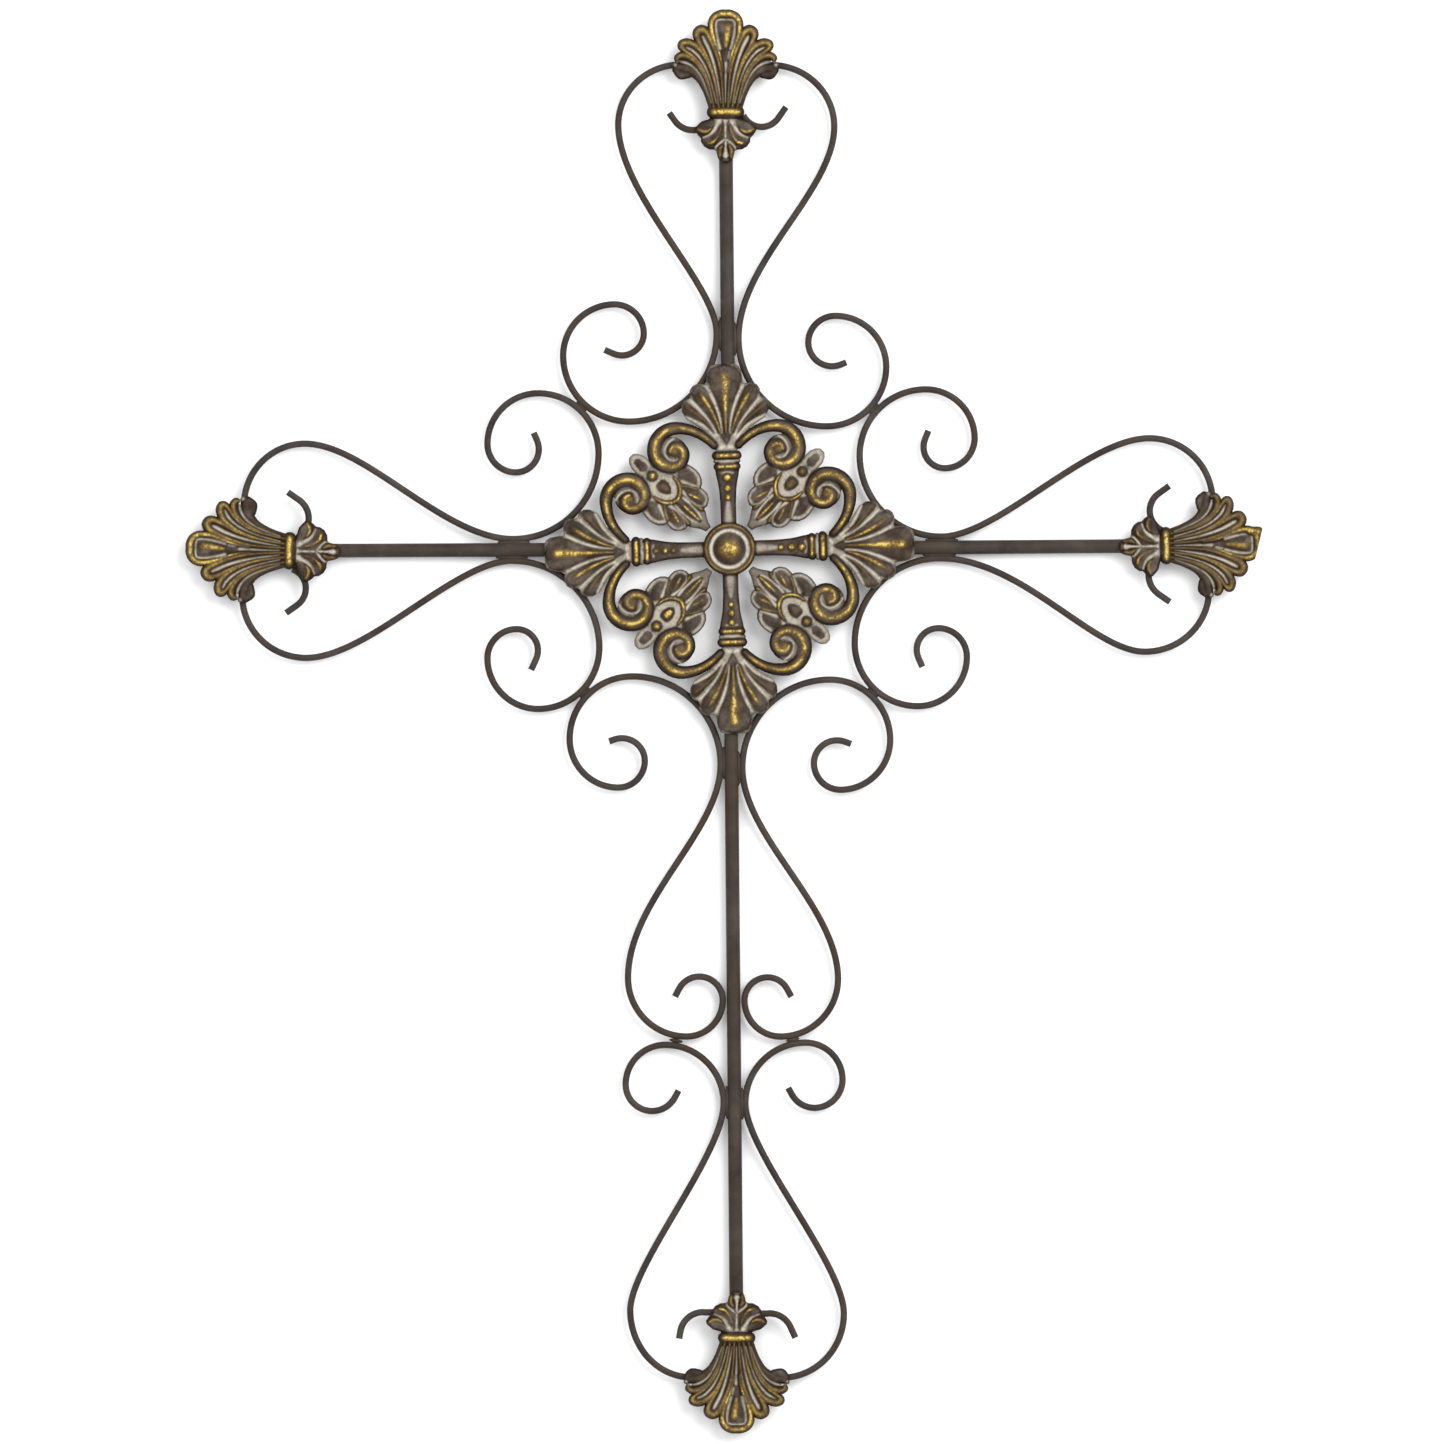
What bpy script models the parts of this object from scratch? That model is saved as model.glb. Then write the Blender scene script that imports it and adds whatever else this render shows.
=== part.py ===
"""A wall cross: round steel bars and bent scroll rods, four cast palmette finials and a cast openwork medallion.

Everything is drawn lying on its back: x to the right, y towards the top of the cross and z towards the viewer,
with the middle of the bars at z = 0. Sizes are in millimetres, and each shape is brought to metres as it is made.
One parent empty stands the cross up and puts the world origin on the back face of its hanger plate.
"""

import math

import bmesh
import bpy
from mathutils import Matrix, Vector

MM = 0.001
WELD = 0.000001
SLIVER = 0.00002

# Stock and fits
BAR_DIAMETER = 9.2
ROD_DIAMETER = 4.5
CLEARANCE = 0.3

# Distance from the centre of the boss to the middle of each finial's collar
COLLAR_AT = {"top": 288.3, "left": 290.6, "right": 288.2, "bottom": 520.7}

# The crossbars are a little out of square: how far each arm leans clockwise, in degrees
ARM_LEAN = {"top": 0.0, "left": 0.28, "right": 0.1, "bottom": 0.0}

# How far each finial is drawn out along its arm
FINIAL_STRETCH = {"top": 1.0, "left": 1.01, "right": 0.93, "bottom": 0.93}

# How far each finial is turned on its arm, anticlockwise, in degrees
FINIAL_TURN = {"top": -0.5, "left": -1.8, "right": 1.2, "bottom": -0.6}

# Scroll rods: every rod swings out from its finial to a bulge, slants in to the bar and ends in a scroll
RODS = {
    "scroll_top_left": {
        "arm": "top", "side": -1, "ear": 31.7, "bulge": (-8.0, 70.9), "reins": (45.6, 31.9), "waist": 142.7,
        "radii": (58.0, 43.5, 34.0, 19.4, 14.4), "curl": 114.0, "tip": 6.4,
    },
    "scroll_top_right": {
        "arm": "top", "side": 1, "ear": 30.9, "bulge": (-9.6, 71.7), "reins": (43.1, 51.3), "waist": 138.5,
        "radii": (58.1, 39.3, 33.6, 17.7, 15.6), "curl": 111.0, "tip": 4.1,
    },
    "scroll_left_upper": {
        "arm": "left", "side": 1, "ear": 29.8, "bulge": (-10.4, 70.7), "reins": (40.2, 46.0),
        "beside": "scroll_top_left",
        "radii": (56.4, 39.8, 33.5, 18.7, 15.2), "curl": 113.7, "tip": 5.3,
    },
    "scroll_right_upper": {
        "arm": "right", "side": 1, "ear": 30.8, "bulge": (-10.9, 71.1), "reins": (40.9, 37.4),
        "beside": "scroll_top_right",
        "radii": (53.7, 43.6, 32.4, 19.8, 14.0), "curl": 111.6, "tip": 6.2,
    },
    "scroll_bottom_upper_left": {
        "arm": "bottom", "side": -1, "bulge_at": 283.0, "reins": (52.2, 44.8), "waist": 141.7,
        "radii": (58.2, 41.3, 32.0, 17.5, 15.1), "curl": 110.0, "tip": 3.4,
        "lower_radii": (38.5, 23.9, 15.6, 14.8), "lower_curl": 62.0, "lower_tip": 6.0,
    },
    "scroll_bottom_upper_right": {
        "arm": "bottom", "side": 1, "bulge_at": 284.1, "reins": (47.7, 45.1), "waist": 144.8,
        "radii": (58.0, 39.8, 33.0, 17.5, 15.2), "curl": 111.0, "tip": 4.3,
        "lower_radii": (38.0, 23.9, 15.3, 14.6), "lower_curl": 62.0, "lower_tip": 6.0,
    },
    "scroll_left_lower": {
        "arm": "left", "side": -1, "ear": 31.1, "bulge": (-10.9, 70.7), "reins": (41.0, 37.2),
        "beside": "scroll_bottom_upper_left",
        "radii": (57.5, 40.4, 33.5, 19.3, 14.1), "curl": 115.2, "tip": 7.7,
    },
    "scroll_right_lower": {
        "arm": "right", "side": -1, "ear": 28.0, "bulge": (-14.4, 69.8), "reins": (34.5, 54.6),
        "beside": "scroll_bottom_upper_right",
        "radii": (56.0, 41.5, 32.5, 18.9, 14.2), "curl": 113.6, "tip": 6.2,
    },
    "scroll_bottom_lower_left": {
        "arm": "bottom", "side": -1, "ear": 25.8, "bulge": (-18.5, 70.1), "reins": (30.0, 34.0),
        "below": "scroll_bottom_upper_left", "weld_gap": 2.2,
        "radii": (38.5, 26.1, 17.5, 17.0), "curl": 62.0, "tip": 5.0,
    },
    "scroll_bottom_lower_right": {
        "arm": "bottom", "side": 1, "ear": 26.6, "bulge": (-15.6, 70.9), "reins": (32.9, 32.0),
        "below": "scroll_bottom_upper_right", "weld_gap": 1.2,
        "radii": (39.8, 24.5, 18.6, 17.0), "curl": 62.0, "tip": 5.0,
    },
}

# Hooks beside the collars: middle of the bend (across, along), its radius, the degrees where it starts and ends
# (HOOK_TURN_END where none is given) and its straight tip
HOOKS = {
    "hook_top_left": {"arm": "top", "side": -1, "middle": (21.5, 3.0), "radius": 14.7, "from": 255.0, "tip": 6.5},
    "hook_top_right": {"arm": "top", "side": 1, "middle": (23.8, 3.4), "radius": 13.4, "from": 205.0, "tip": 9.0},
    "hook_left_upper": {"arm": "left", "side": 1, "middle": (21.3, 2.0), "radius": 15.0, "from": 255.0, "tip": 9.0},
    "hook_left_lower": {"arm": "left", "side": -1, "middle": (24.8, 2.6), "radius": 13.5, "from": 200.0, "tip": 9.0},
    "hook_right_upper": {"arm": "right", "side": 1, "middle": (23.0, 3.5), "radius": 14.2, "from": 200.0, "tip": 8.5},
    "hook_right_lower": {"arm": "right", "side": -1, "middle": (19.2, 3.8), "radius": 15.6, "from": 262.0, "tip": 9.0},
    "hook_bottom_left": {
        "arm": "bottom", "side": -1, "middle": (22.3, -2.2), "radius": 15.0, "from": 262.0, "until": 350.0, "tip": 5.0,
    },
    "hook_bottom_right": {
        "arm": "bottom", "side": 1, "middle": (21.8, -1.0), "radius": 15.0, "from": 262.0, "until": 336.0, "tip": 8.0,
    },
}
HOOK_TURN_END = 325.0
HOOK_ROOT = 5.0

# Bend steps
ARC_STEP = math.radians(18.0)
MIDDLE_ARC_STEP = math.radians(22.5)
SMALL_ARC_STEP = math.radians(30.0)
MIDDLE_ARC = 30.0
SMALL_ARC = 22.0
SLANT_STEPS = 6

# Finial, across and along its arm from the middle of its collar
EAR_TIP = (29.8, 26.2)
EAR_RADIUS = 4.7
EAR_ROD_AT = 30.5
EAR_ROD_OVERLAP = 4.0
EAR_PAD_RADIUS = 2.7
LOBES = (
    {"foot": (9.8, 3.0), "bend": (13.4, 28.0), "tip": EAR_TIP, "radii": (1.7, EAR_RADIUS)},
    {"foot": (9.2, 3.0), "bend": (14.0, 31.5), "tip": (28.4, 34.4), "radii": (1.7, 5.2)},
    {"foot": (6.6, 3.0), "bend": (9.4, 33.0), "tip": (25.3, 43.1), "radii": (1.8, 5.8)},
    {"foot": (3.2, 3.0), "bend": (4.0, 33.0), "tip": (15.3, 51.8), "radii": (1.9, 6.2)},
)
CROWN_LOBE = {"foot": (0.0, 28.0), "tip": (0.0, 56.9), "radii": (2.0, 10.9)}
COLLAR = {"half_width": 8.6, "radius": 3.4, "height": 7.4}
CALYX_LEAVES = (
    {"foot": (3.5, -6.0), "bend": (10.0, -5.5), "tip": (15.6, -10.9), "radii": (2.6, 3.9)},
    {"foot": (2.0, -6.0), "bend": (3.5, -15.0), "tip": (11.0, -18.6), "radii": (2.6, 5.0)},
)
DROP = {"foot": (0.0, -8.0), "tip": (0.0, -29.8), "radii": (4.8, 5.2, 5.8, 3.9)}
FINIAL_PLATE = 2.2
FINIAL_PLATE_FOOT = -4.0
PAD_BELOW_EAR_ROD = 2.0
NECK = ((11.4, 8.0), (14.2, 15.0), (20.0, 22.5))

# The medallion sits a little turned on its bars, anticlockwise, in degrees
MEDALLION_TURN = 1.2

# Medallion, across and along an arm from the middle of the boss
BOSS_PROFILE = ((17.2, 0.0), (17.2, 4.6), (15.6, 6.4), (13.6, 6.2), (12.2, 4.9), (9.6, 5.2), (6.4, 8.0), (0.0, 9.4))
BOSS_SEGMENTS = 24
ARM = {"foot": (0.0, 12.0), "tip": (0.0, 68.0), "radii": (4.7, 4.7, 5.4, 8.4, 8.6), "height": 3.4}
ARM_RINGS = {"at": (55.2, 62.6), "half_width": 7.4, "radius": 2.1, "height": 6.2}
ARM_BEADS = ((46.9, 2.3), (40.3, 2.1), (33.9, 1.8))
PALMETTE_LOBES = (
    {"foot": (5.0, 69.0), "bend": (9.0, 82.0), "tip": (24.6, 92.8), "radii": (2.2, 5.8)},
    {"foot": (3.2, 69.0), "bend": (6.0, 88.0), "tip": (17.6, 101.8), "radii": (2.2, 6.4)},
)
PALMETTE_CROWN = {"foot": (0.0, 68.0), "tip": (0.0, 111.6), "radii": (2.6, 10.4)}
PALMETTE_WEB = ((5.5, 66.0), (27.0, 90.5), (24.0, 99.6), (11.0, 108.5))
PALMETTE_WEB_THICKNESS = 2.4
VOLUTE = {
    "start": (8.0, 68.5), "top": (33.0, 80.6), "radii": (14.6, 10.9, 8.2, 5.2),
    "widths": (2.8, 3.6, 4.6, 5.0, 4.6, 4.2, 3.8), "height": 4.6,
}
LEAF_BODY = {"foot": (0.0, 74.0), "tip": (0.0, 23.0), "radii": (7.0, 13.5, 13.0, 9.8, 2.8), "height": 2.6}
LEAF_LOBES = (
    {"foot": (6.0, 57.0), "bend": (12.0, 56.0), "tip": (17.2, 50.8), "radii": (3.8, 5.9)},
    {"foot": (4.0, 47.0), "bend": (8.5, 42.5), "tip": (11.0, 36.4), "radii": (3.6, 5.6)},
)
LEAF_EYE = {"at": 59.0, "radii": (4.6, 5.8), "height": 5.2}
LEAF_BEAD = {"at": 69.8, "radius": 3.9, "height": 5.4}
LEAF_TAB = {"foot": (0.0, 70.0), "tip": (0.0, 83.6), "radii": (4.2, 5.7)}
VOLUTE_DISC = {"at": (36.2, 63.6), "radius": 11.5, "height": 3.0}
LEAF_HEIGHT = 3.8
PALMETTE_HEIGHT = 4.6

# Relief: how far the middle of a lobe's tube sits above the back, and its height to width at most
SEAT = 1.2
LOBE_HEIGHT = 4.4
FLATTEST = 0.72
TUBE_STEPS = 4
BAR_SIDES = 12
SHARP_ANGLE = 40.0
FINIAL_SHARE = 0.38
MEDALLION_SHARE = 0.38
CUT_BELOW = 30.0
CUTTER_SPAN = 400.0
BELOW_BACK = 0.3

# Hanger plate
PLATE_WIDTH = 16.0
PLATE_THICKNESS = 2.0
PLATE_BELOW_BAR_END = 14.0
PLATE_ABOVE_BAR_END = 26.0
BAR_END_PAST_COLLAR = 8.0
KEYHOLE_ABOVE_BAR_END = 9.0
KEYHOLE_RADIUS = 4.2
KEYHOLE_SLOT_RADIUS = 2.1
KEYHOLE_SLOT_LENGTH = 9.0
ORIGIN_BELOW_BAR_END = 7.0

# Paints: colour, roughness and metallic value
METALS = {
    "rod": ((0.105, 0.085, 0.072), 0.55, 0.6),
    "cast": ((0.12, 0.09, 0.055), 0.45, 0.7),
}

BAR_RADIUS = BAR_DIAMETER / 2
ROD_RADIUS = ROD_DIAMETER / 2
WAIST_OFFSET = BAR_RADIUS + ROD_RADIUS + CLEARANCE
CASTING_BACK = BAR_RADIUS + CLEARANCE
PLATE_FRONT = -(BAR_RADIUS + CLEARANCE)
PLATE_BACK = PLATE_FRONT - PLATE_THICKNESS
BAR_END = COLLAR_AT["top"] + BAR_END_PAST_COLLAR
LEAN_SIGN = {"left": -1.0, "right": 1.0}
ARM_TURN = {"top": 0.0, "left": 90.0, "bottom": 180.0, "right": -90.0}
LEAF_ANGLE = 45.0


def clear_scene():
    for old in list(bpy.data.objects):
        bpy.data.objects.remove(old, do_unlink=True)


def new_collection(name):
    collection = bpy.data.collections.new(name)
    bpy.context.scene.collection.children.link(collection)
    return collection


def metal(name, kind):
    """The paint of one piece, rod or cast."""
    colour, roughness, metallic = METALS[kind]
    material = bpy.data.materials.new(f"{name}_{kind}_metal")
    material.use_nodes = True
    shader = material.node_tree.nodes["Principled BSDF"]
    shader.inputs["Base Color"].default_value = (*colour, 1.0)
    shader.inputs["Roughness"].default_value = roughness
    shader.inputs["Metallic"].default_value = metallic
    return material


def placed(arm, side, along, across):
    """A point given along an arm and away from its axis, as x and y. Side is -1 for left or lower, 1 otherwise."""
    square = {
        "top": (side * across, along),
        "bottom": (side * across, -along),
        "left": (-along, side * across),
        "right": (along, side * across),
    }
    return turned(square[arm], -ARM_LEAN[arm])


def turned(point, degrees):
    """A point turned about the middle of the boss, anticlockwise."""
    angle = math.radians(degrees)
    return (
        point[0] * math.cos(angle) - point[1] * math.sin(angle),
        point[0] * math.sin(angle) + point[1] * math.cos(angle),
    )


def arc_points(start, heading, radius, turn):
    """Points after the start of an arc that bends to the right by turn, and the heading at its end."""
    step = ARC_STEP
    if radius < MIDDLE_ARC:
        step = MIDDLE_ARC_STEP
    if radius < SMALL_ARC:
        step = SMALL_ARC_STEP
    count = max(1, math.ceil(turn / step - 0.05))
    middle = (start[0] + radius * math.sin(heading), start[1] - radius * math.cos(heading))
    points = []
    for i in range(1, count + 1):
        angle = heading - turn * i / count
        points.append((middle[0] - radius * math.sin(angle), middle[1] + radius * math.cos(angle)))
    return points, heading - turn


def scroll_points(start, heading, radii, curl, tip):
    """A scroll of quarter bends with ever smaller radii. The last one turns by curl and ends in a straight tip."""
    points = [start]
    for i, radius in enumerate(radii):
        last = i == len(radii) - 1
        more, heading = arc_points(points[-1], heading, radius, math.radians(curl if last else 90.0))
        points.extend(more)
    end = points[-1]
    points.append((end[0] + tip * math.cos(heading), end[1] + tip * math.sin(heading)))
    return points


def slant_points(bulge, waist, reins):
    """The stretch from the bulge in to the bar, parallel to the arm at both ends."""
    corners = (bulge, (bulge[0] - reins[0], bulge[1]), (waist[0] + reins[1], waist[1]), waist)
    return [bezier_point(corners, i / SLANT_STEPS) for i in range(1, SLANT_STEPS)]


def bezier_point(corners, t):
    points = [Vector(corner) for corner in corners]
    while len(points) > 1:
        points = [a.lerp(b, t) for a, b in zip(points, points[1:])]
    return tuple(points[0])


def ear_bend_points(along, across, bulge):
    """From behind the ear round to the bulge, as a quarter of an ellipse."""
    points = [(along, across - EAR_ROD_OVERLAP)]
    steps = math.ceil(math.pi / 2 / ARC_STEP - 0.05)
    for i in range(steps):
        angle = math.pi / 2 * i / steps
        points.append(
            (
                bulge[0] + (along - bulge[0]) * math.cos(angle),
                across + (bulge[1] - across) * math.sin(angle),
            )
        )
    points.append(bulge)
    return points


def waist_of(name):
    """Distance along its arm where a rod touches the bar. A rod beside another is set so that the two touch."""
    rod = RODS[name]
    if "waist" in rod:
        return rod["waist"]
    first, second = rod["radii"][:2]
    if "beside" in rod:
        other = RODS[rod["beside"]]
        other_first, other_second = other["radii"][:2]
        reach = second + other_second + ROD_DIAMETER + CLEARANCE
        middle = (WAIST_OFFSET + other_first, other["waist"] - other_first + other_second)
        lean = ARM_LEAN[rod["arm"]] * LEAN_SIGN[rod["arm"]] * rod["side"]
        along, across = turned(middle, lean)
        apart = across - (WAIST_OFFSET + first)
        return along + math.sqrt(reach**2 - apart**2) + first - second
    other = RODS[rod["below"]]
    loop = other["lower_radii"]
    reach = loop[0] + first + ROD_DIAMETER + rod["weld_gap"]
    apart = first - loop[1]
    return other["bulge_at"] + math.sqrt(reach**2 - apart**2)


def rod_points(name):
    """The middle line of a scroll rod, along and across its arm."""
    rod = RODS[name]
    waist = (waist_of(name), WAIST_OFFSET)
    scroll = scroll_points(waist, math.pi, rod["radii"], rod["curl"], rod["tip"])
    if "lower_radii" in rod:
        loop = rod["lower_radii"]
        bulge = (rod["bulge_at"], WAIST_OFFSET + loop[0] + loop[1])
        turned = scroll_points((0.0, 0.0), math.pi, loop, rod["lower_curl"], rod["lower_tip"])
        start = [(bulge[0] - along, bulge[1] - across) for along, across in reversed(turned)]
    else:
        collar = COLLAR_AT[rod["arm"]]
        bulge = (collar + rod["bulge"][0], rod["bulge"][1])
        start = ear_bend_points(collar + rod["ear"], EAR_TIP[0], bulge)
    return start + slant_points(bulge, waist, rod["reins"]) + scroll


def hook_points(hook):
    """The middle line of a hook, along and across its arm: a short root, a bend and a straight tip."""
    across, along = hook["middle"]
    radius = hook["radius"]
    first, last = math.radians(hook["from"]), math.radians(hook.get("until", HOOK_TURN_END))
    steps = math.ceil((last - first) / SMALL_ARC_STEP)
    points = []
    if hook["from"] > 240.0:
        points.append((along + radius * math.sin(first), across + radius * math.cos(first) - HOOK_ROOT))
    for i in range(steps + 1):
        angle = first + (last - first) * i / steps
        points.append((along + radius * math.sin(angle), across + radius * math.cos(angle)))
    end = points[-1]
    tip = hook["tip"]
    points.append((end[0] + tip * math.cos(last), end[1] - tip * math.sin(last)))
    start = COLLAR_AT[hook["arm"]]
    return [(start + u, v) for u, v in points]


def mesh_from_curve(name, curve, collection):
    """A mesh object made from a curve, with its caps welded on. The curve is removed."""
    guide = bpy.data.objects.new(name + "_line", curve)
    collection.objects.link(guide)
    mesh = evaluated_mesh(guide, name)
    bpy.data.objects.remove(guide, do_unlink=True)
    bpy.data.curves.remove(curve)
    shape = bmesh.new()
    shape.from_mesh(mesh)
    bmesh.ops.remove_doubles(shape, verts=shape.verts, dist=WELD)
    bmesh.ops.recalc_face_normals(shape, faces=shape.faces)
    shape.to_mesh(mesh)
    shape.free()
    return new_object(name, mesh, collection)


def new_object(name, mesh, collection):
    obj = bpy.data.objects.new(name, mesh)
    collection.objects.link(obj)
    return obj


def evaluated_mesh(obj, name):
    bpy.context.view_layer.update()
    graph = bpy.context.evaluated_depsgraph_get()
    mesh = bpy.data.meshes.new_from_object(obj.evaluated_get(graph))
    mesh.name = name
    return mesh


def solid_mesh(name, shape):
    """A mesh of a bmesh shape drawn in millimetres, brought to metres."""
    bmesh.ops.scale(shape, vec=(MM, MM, MM), verts=shape.verts)
    mesh = bpy.data.meshes.new(name)
    shape.to_mesh(mesh)
    shape.free()
    return mesh


def tube(name, points, radii, collection, flatness=1.0):
    """A capped tube along points of x, y and z, with a radius at each, as a mesh object with welded caps."""
    curve = bpy.data.curves.new(name, "CURVE")
    curve.dimensions = "3D"
    curve.bevel_depth = MM
    curve.bevel_resolution = 1
    curve.use_fill_caps = True
    spline = curve.splines.new("POLY")
    spline.points.add(len(points) - 1)
    for point, place, radius in zip(spline.points, points, radii):
        point.co = (place[0] * MM, place[1] * MM, place[2] * MM, 1.0)
        point.radius = radius
    obj = mesh_from_curve(name, curve, collection)
    base = points[0][2] * MM
    lowered = Matrix.Translation((0.0, 0.0, base * (1.0 - flatness)))
    obj.data.transform(lowered @ Matrix.Diagonal((1.0, 1.0, flatness, 1.0)))
    return obj


def rod_object(name, arm, side, points, height, collection):
    """A round rod in the plane of the cross, as a curve with filled caps."""
    curve = bpy.data.curves.new(name, "CURVE")
    curve.dimensions = "3D"
    curve.bevel_depth = ROD_RADIUS * MM
    curve.bevel_resolution = 1
    curve.use_fill_caps = True
    spline = curve.splines.new("POLY")
    spline.points.add(len(points) - 1)
    for point, (along, across) in zip(spline.points, points):
        x, y = placed(arm, side, along, across)
        point.co = (x * MM, y * MM, 0.0, 1.0)
    curve.materials.append(metal(name, "rod"))
    obj = new_object(name, curve, collection)
    obj.location = (0.0, 0.0, height * MM)
    return obj


def bar_object(name, start, end, collection):
    """A round bar between two points of the plane of the cross."""
    start = Vector((*start, 0.0))
    end = Vector((*end, 0.0))
    shape = bmesh.new()
    bmesh.ops.create_cone(
        shape,
        cap_ends=True,
        segments=BAR_SIDES,
        radius1=BAR_RADIUS,
        radius2=BAR_RADIUS,
        depth=(end - start).length,
    )
    mesh = solid_mesh(name, shape)
    smooth(mesh)
    mesh.materials.append(metal(name, "rod"))
    obj = new_object(name, mesh, collection)
    obj.location = (start + end) / 2 * MM
    obj.rotation_euler = (end - start).to_track_quat("Z", "Y").to_euler()
    return obj


def smooth(mesh):
    mesh.shade_smooth()
    mesh.set_sharp_from_angle(angle=math.radians(SHARP_ANGLE))


def lobe(name, shape, height, collection, side=1, turn=None):
    """A rounded lobe from its foot to its tip, widening along a bend. Its height is measured from the back."""
    foot, tip = shape["foot"], shape["tip"]
    bend = shape.get("bend", ((foot[0] + tip[0]) / 2, (foot[1] + tip[1]) / 2))
    radii = shape["radii"]
    steps = TUBE_STEPS if len(radii) == 2 else len(radii) - 1
    line = []
    widths = []
    for i in range(steps + 1):
        t = i / steps
        line.append(bezier_point((foot, bend, tip), t))
        spot = t * (len(radii) - 1)
        low = min(int(spot), len(radii) - 2)
        widths.append(radii[low] + (radii[low + 1] - radii[low]) * (spot - low))
    ahead = Vector(line[-1]) - Vector(line[-2])
    ahead.normalize()
    for angle in (math.radians(40.0), math.radians(72.0)):
        out = Vector(tip) + ahead * radii[-1] * math.sin(angle)
        line.append(tuple(out))
        widths.append(radii[-1] * math.cos(angle))
    flatness = min(FLATTEST, (height - SEAT) / max(radii))
    points = [(side * x, y, SEAT) for x, y in line]
    obj = tube(name, points, widths, collection, flatness)
    if turn is not None:
        obj.data.transform(Matrix.Rotation(math.radians(turn), 4, "Z"))
    return obj


def ball(name, x, y, radii, height, collection, segments=8, rings=5):
    """A flattened ball whose middle is sunk in the casting."""
    shape = bmesh.new()
    bmesh.ops.create_uvsphere(shape, u_segments=segments, v_segments=rings, radius=1.0)
    bmesh.ops.scale(shape, vec=(radii[0], radii[1], height - SEAT), verts=shape.verts)
    bmesh.ops.translate(shape, vec=(x, y, SEAT), verts=shape.verts)
    return new_object(name, solid_mesh(name, shape), collection)


def rib(name, half_width, along, radius, height, collection):
    """A round rib across the arm, with domed ends."""
    ends = (half_width + radius * 0.9, half_width + radius * 0.55, half_width)
    line = [-end for end in ends] + list(reversed(ends))
    widths = [radius * share for share in (0.42, 0.82, 1.0, 1.0, 0.82, 0.42)]
    points = [(x, along, SEAT) for x in line]
    return tube(name, points, widths, collection, (height - SEAT) / radius)


def plate_between(name, outline, thickness, collection):
    """A flat plate with the given outline, its back just below z = 0."""
    curve = bpy.data.curves.new(name, "CURVE")
    curve.dimensions = "2D"
    curve.fill_mode = "BOTH"
    curve.extrude = thickness / 2 * MM
    spline = curve.splines.new("POLY")
    spline.points.add(len(outline) - 1)
    for point, (x, y) in zip(spline.points, outline):
        point.co = (x * MM, y * MM, 0.0, 1.0)
    spline.use_cyclic_u = True
    obj = mesh_from_curve(name, curve, collection)
    obj.data.transform(Matrix.Translation((0.0, 0.0, (thickness / 2 - BELOW_BACK) * MM)))
    return obj


def joined(name, shapes):
    """One closed mesh of all the shapes in a collection, cut flat at the back."""
    parts = list(shapes.objects)
    body = parts[0]
    shapes.objects.unlink(body)
    bpy.context.scene.collection.objects.link(body)
    union = body.modifiers.new("union", "BOOLEAN")
    union.operation = "UNION"
    union.operand_type = "COLLECTION"
    union.collection = shapes
    union.solver = "MANIFOLD"
    whole = new_object(name, evaluated_mesh(body, name), bpy.context.scene.collection)
    block = bmesh.new()
    bmesh.ops.create_cube(block, size=1.0)
    bmesh.ops.scale(block, vec=(CUTTER_SPAN, CUTTER_SPAN, CUT_BELOW), verts=block.verts)
    bmesh.ops.translate(block, vec=(0.0, 0.0, -CUT_BELOW / 2), verts=block.verts)
    cutter = new_object("back_cut", solid_mesh("back_cut", block), bpy.context.scene.collection)
    cut = whole.modifiers.new("flat_back", "BOOLEAN")
    cut.operation = "DIFFERENCE"
    cut.solver = "MANIFOLD"
    cut.object = cutter
    mesh = evaluated_mesh(whole, name)
    for used in [*parts, whole, cutter]:
        bpy.data.objects.remove(used, do_unlink=True)
    return mesh


def with_pads(mesh, name, places, radius, depth):
    """The mesh with a short round pad below its back at each place, where an ear is welded to its rod."""
    body = new_object(name, mesh, bpy.context.scene.collection)
    pads = []
    for i, (x, y) in enumerate(places):
        shape = bmesh.new()
        middle = Matrix.Translation((x, y, (SEAT - depth) / 2))
        bmesh.ops.create_cone(
            shape,
            cap_ends=True,
            segments=8,
            radius1=radius,
            radius2=radius,
            depth=SEAT + depth,
            matrix=middle,
        )
        pad = new_object(f"pad_{i}", solid_mesh("pad", shape), bpy.context.scene.collection)
        pads.append(pad)
        join = body.modifiers.new(f"pad_{i}", "BOOLEAN")
        join.operation = "UNION"
        join.solver = "MANIFOLD"
        join.object = pad
    result = evaluated_mesh(body, name)
    for used in [body, *pads]:
        bpy.data.objects.remove(used, do_unlink=True)
    return result


def thinned(obj, share):
    """Takes out the slivers that the unions leave, and then the least of the facets, down to a share of them."""
    weld = obj.modifiers.new("weld", "WELD")
    weld.merge_threshold = SLIVER
    flat = obj.modifiers.new("flat_faces", "DECIMATE")
    flat.decimate_type = "DISSOLVE"
    flat.angle_limit = math.radians(1.0)
    obj.modifiers.new("triangles", "TRIANGULATE")
    fewer = obj.modifiers.new("fewer_facets", "DECIMATE")
    fewer.ratio = share


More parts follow.
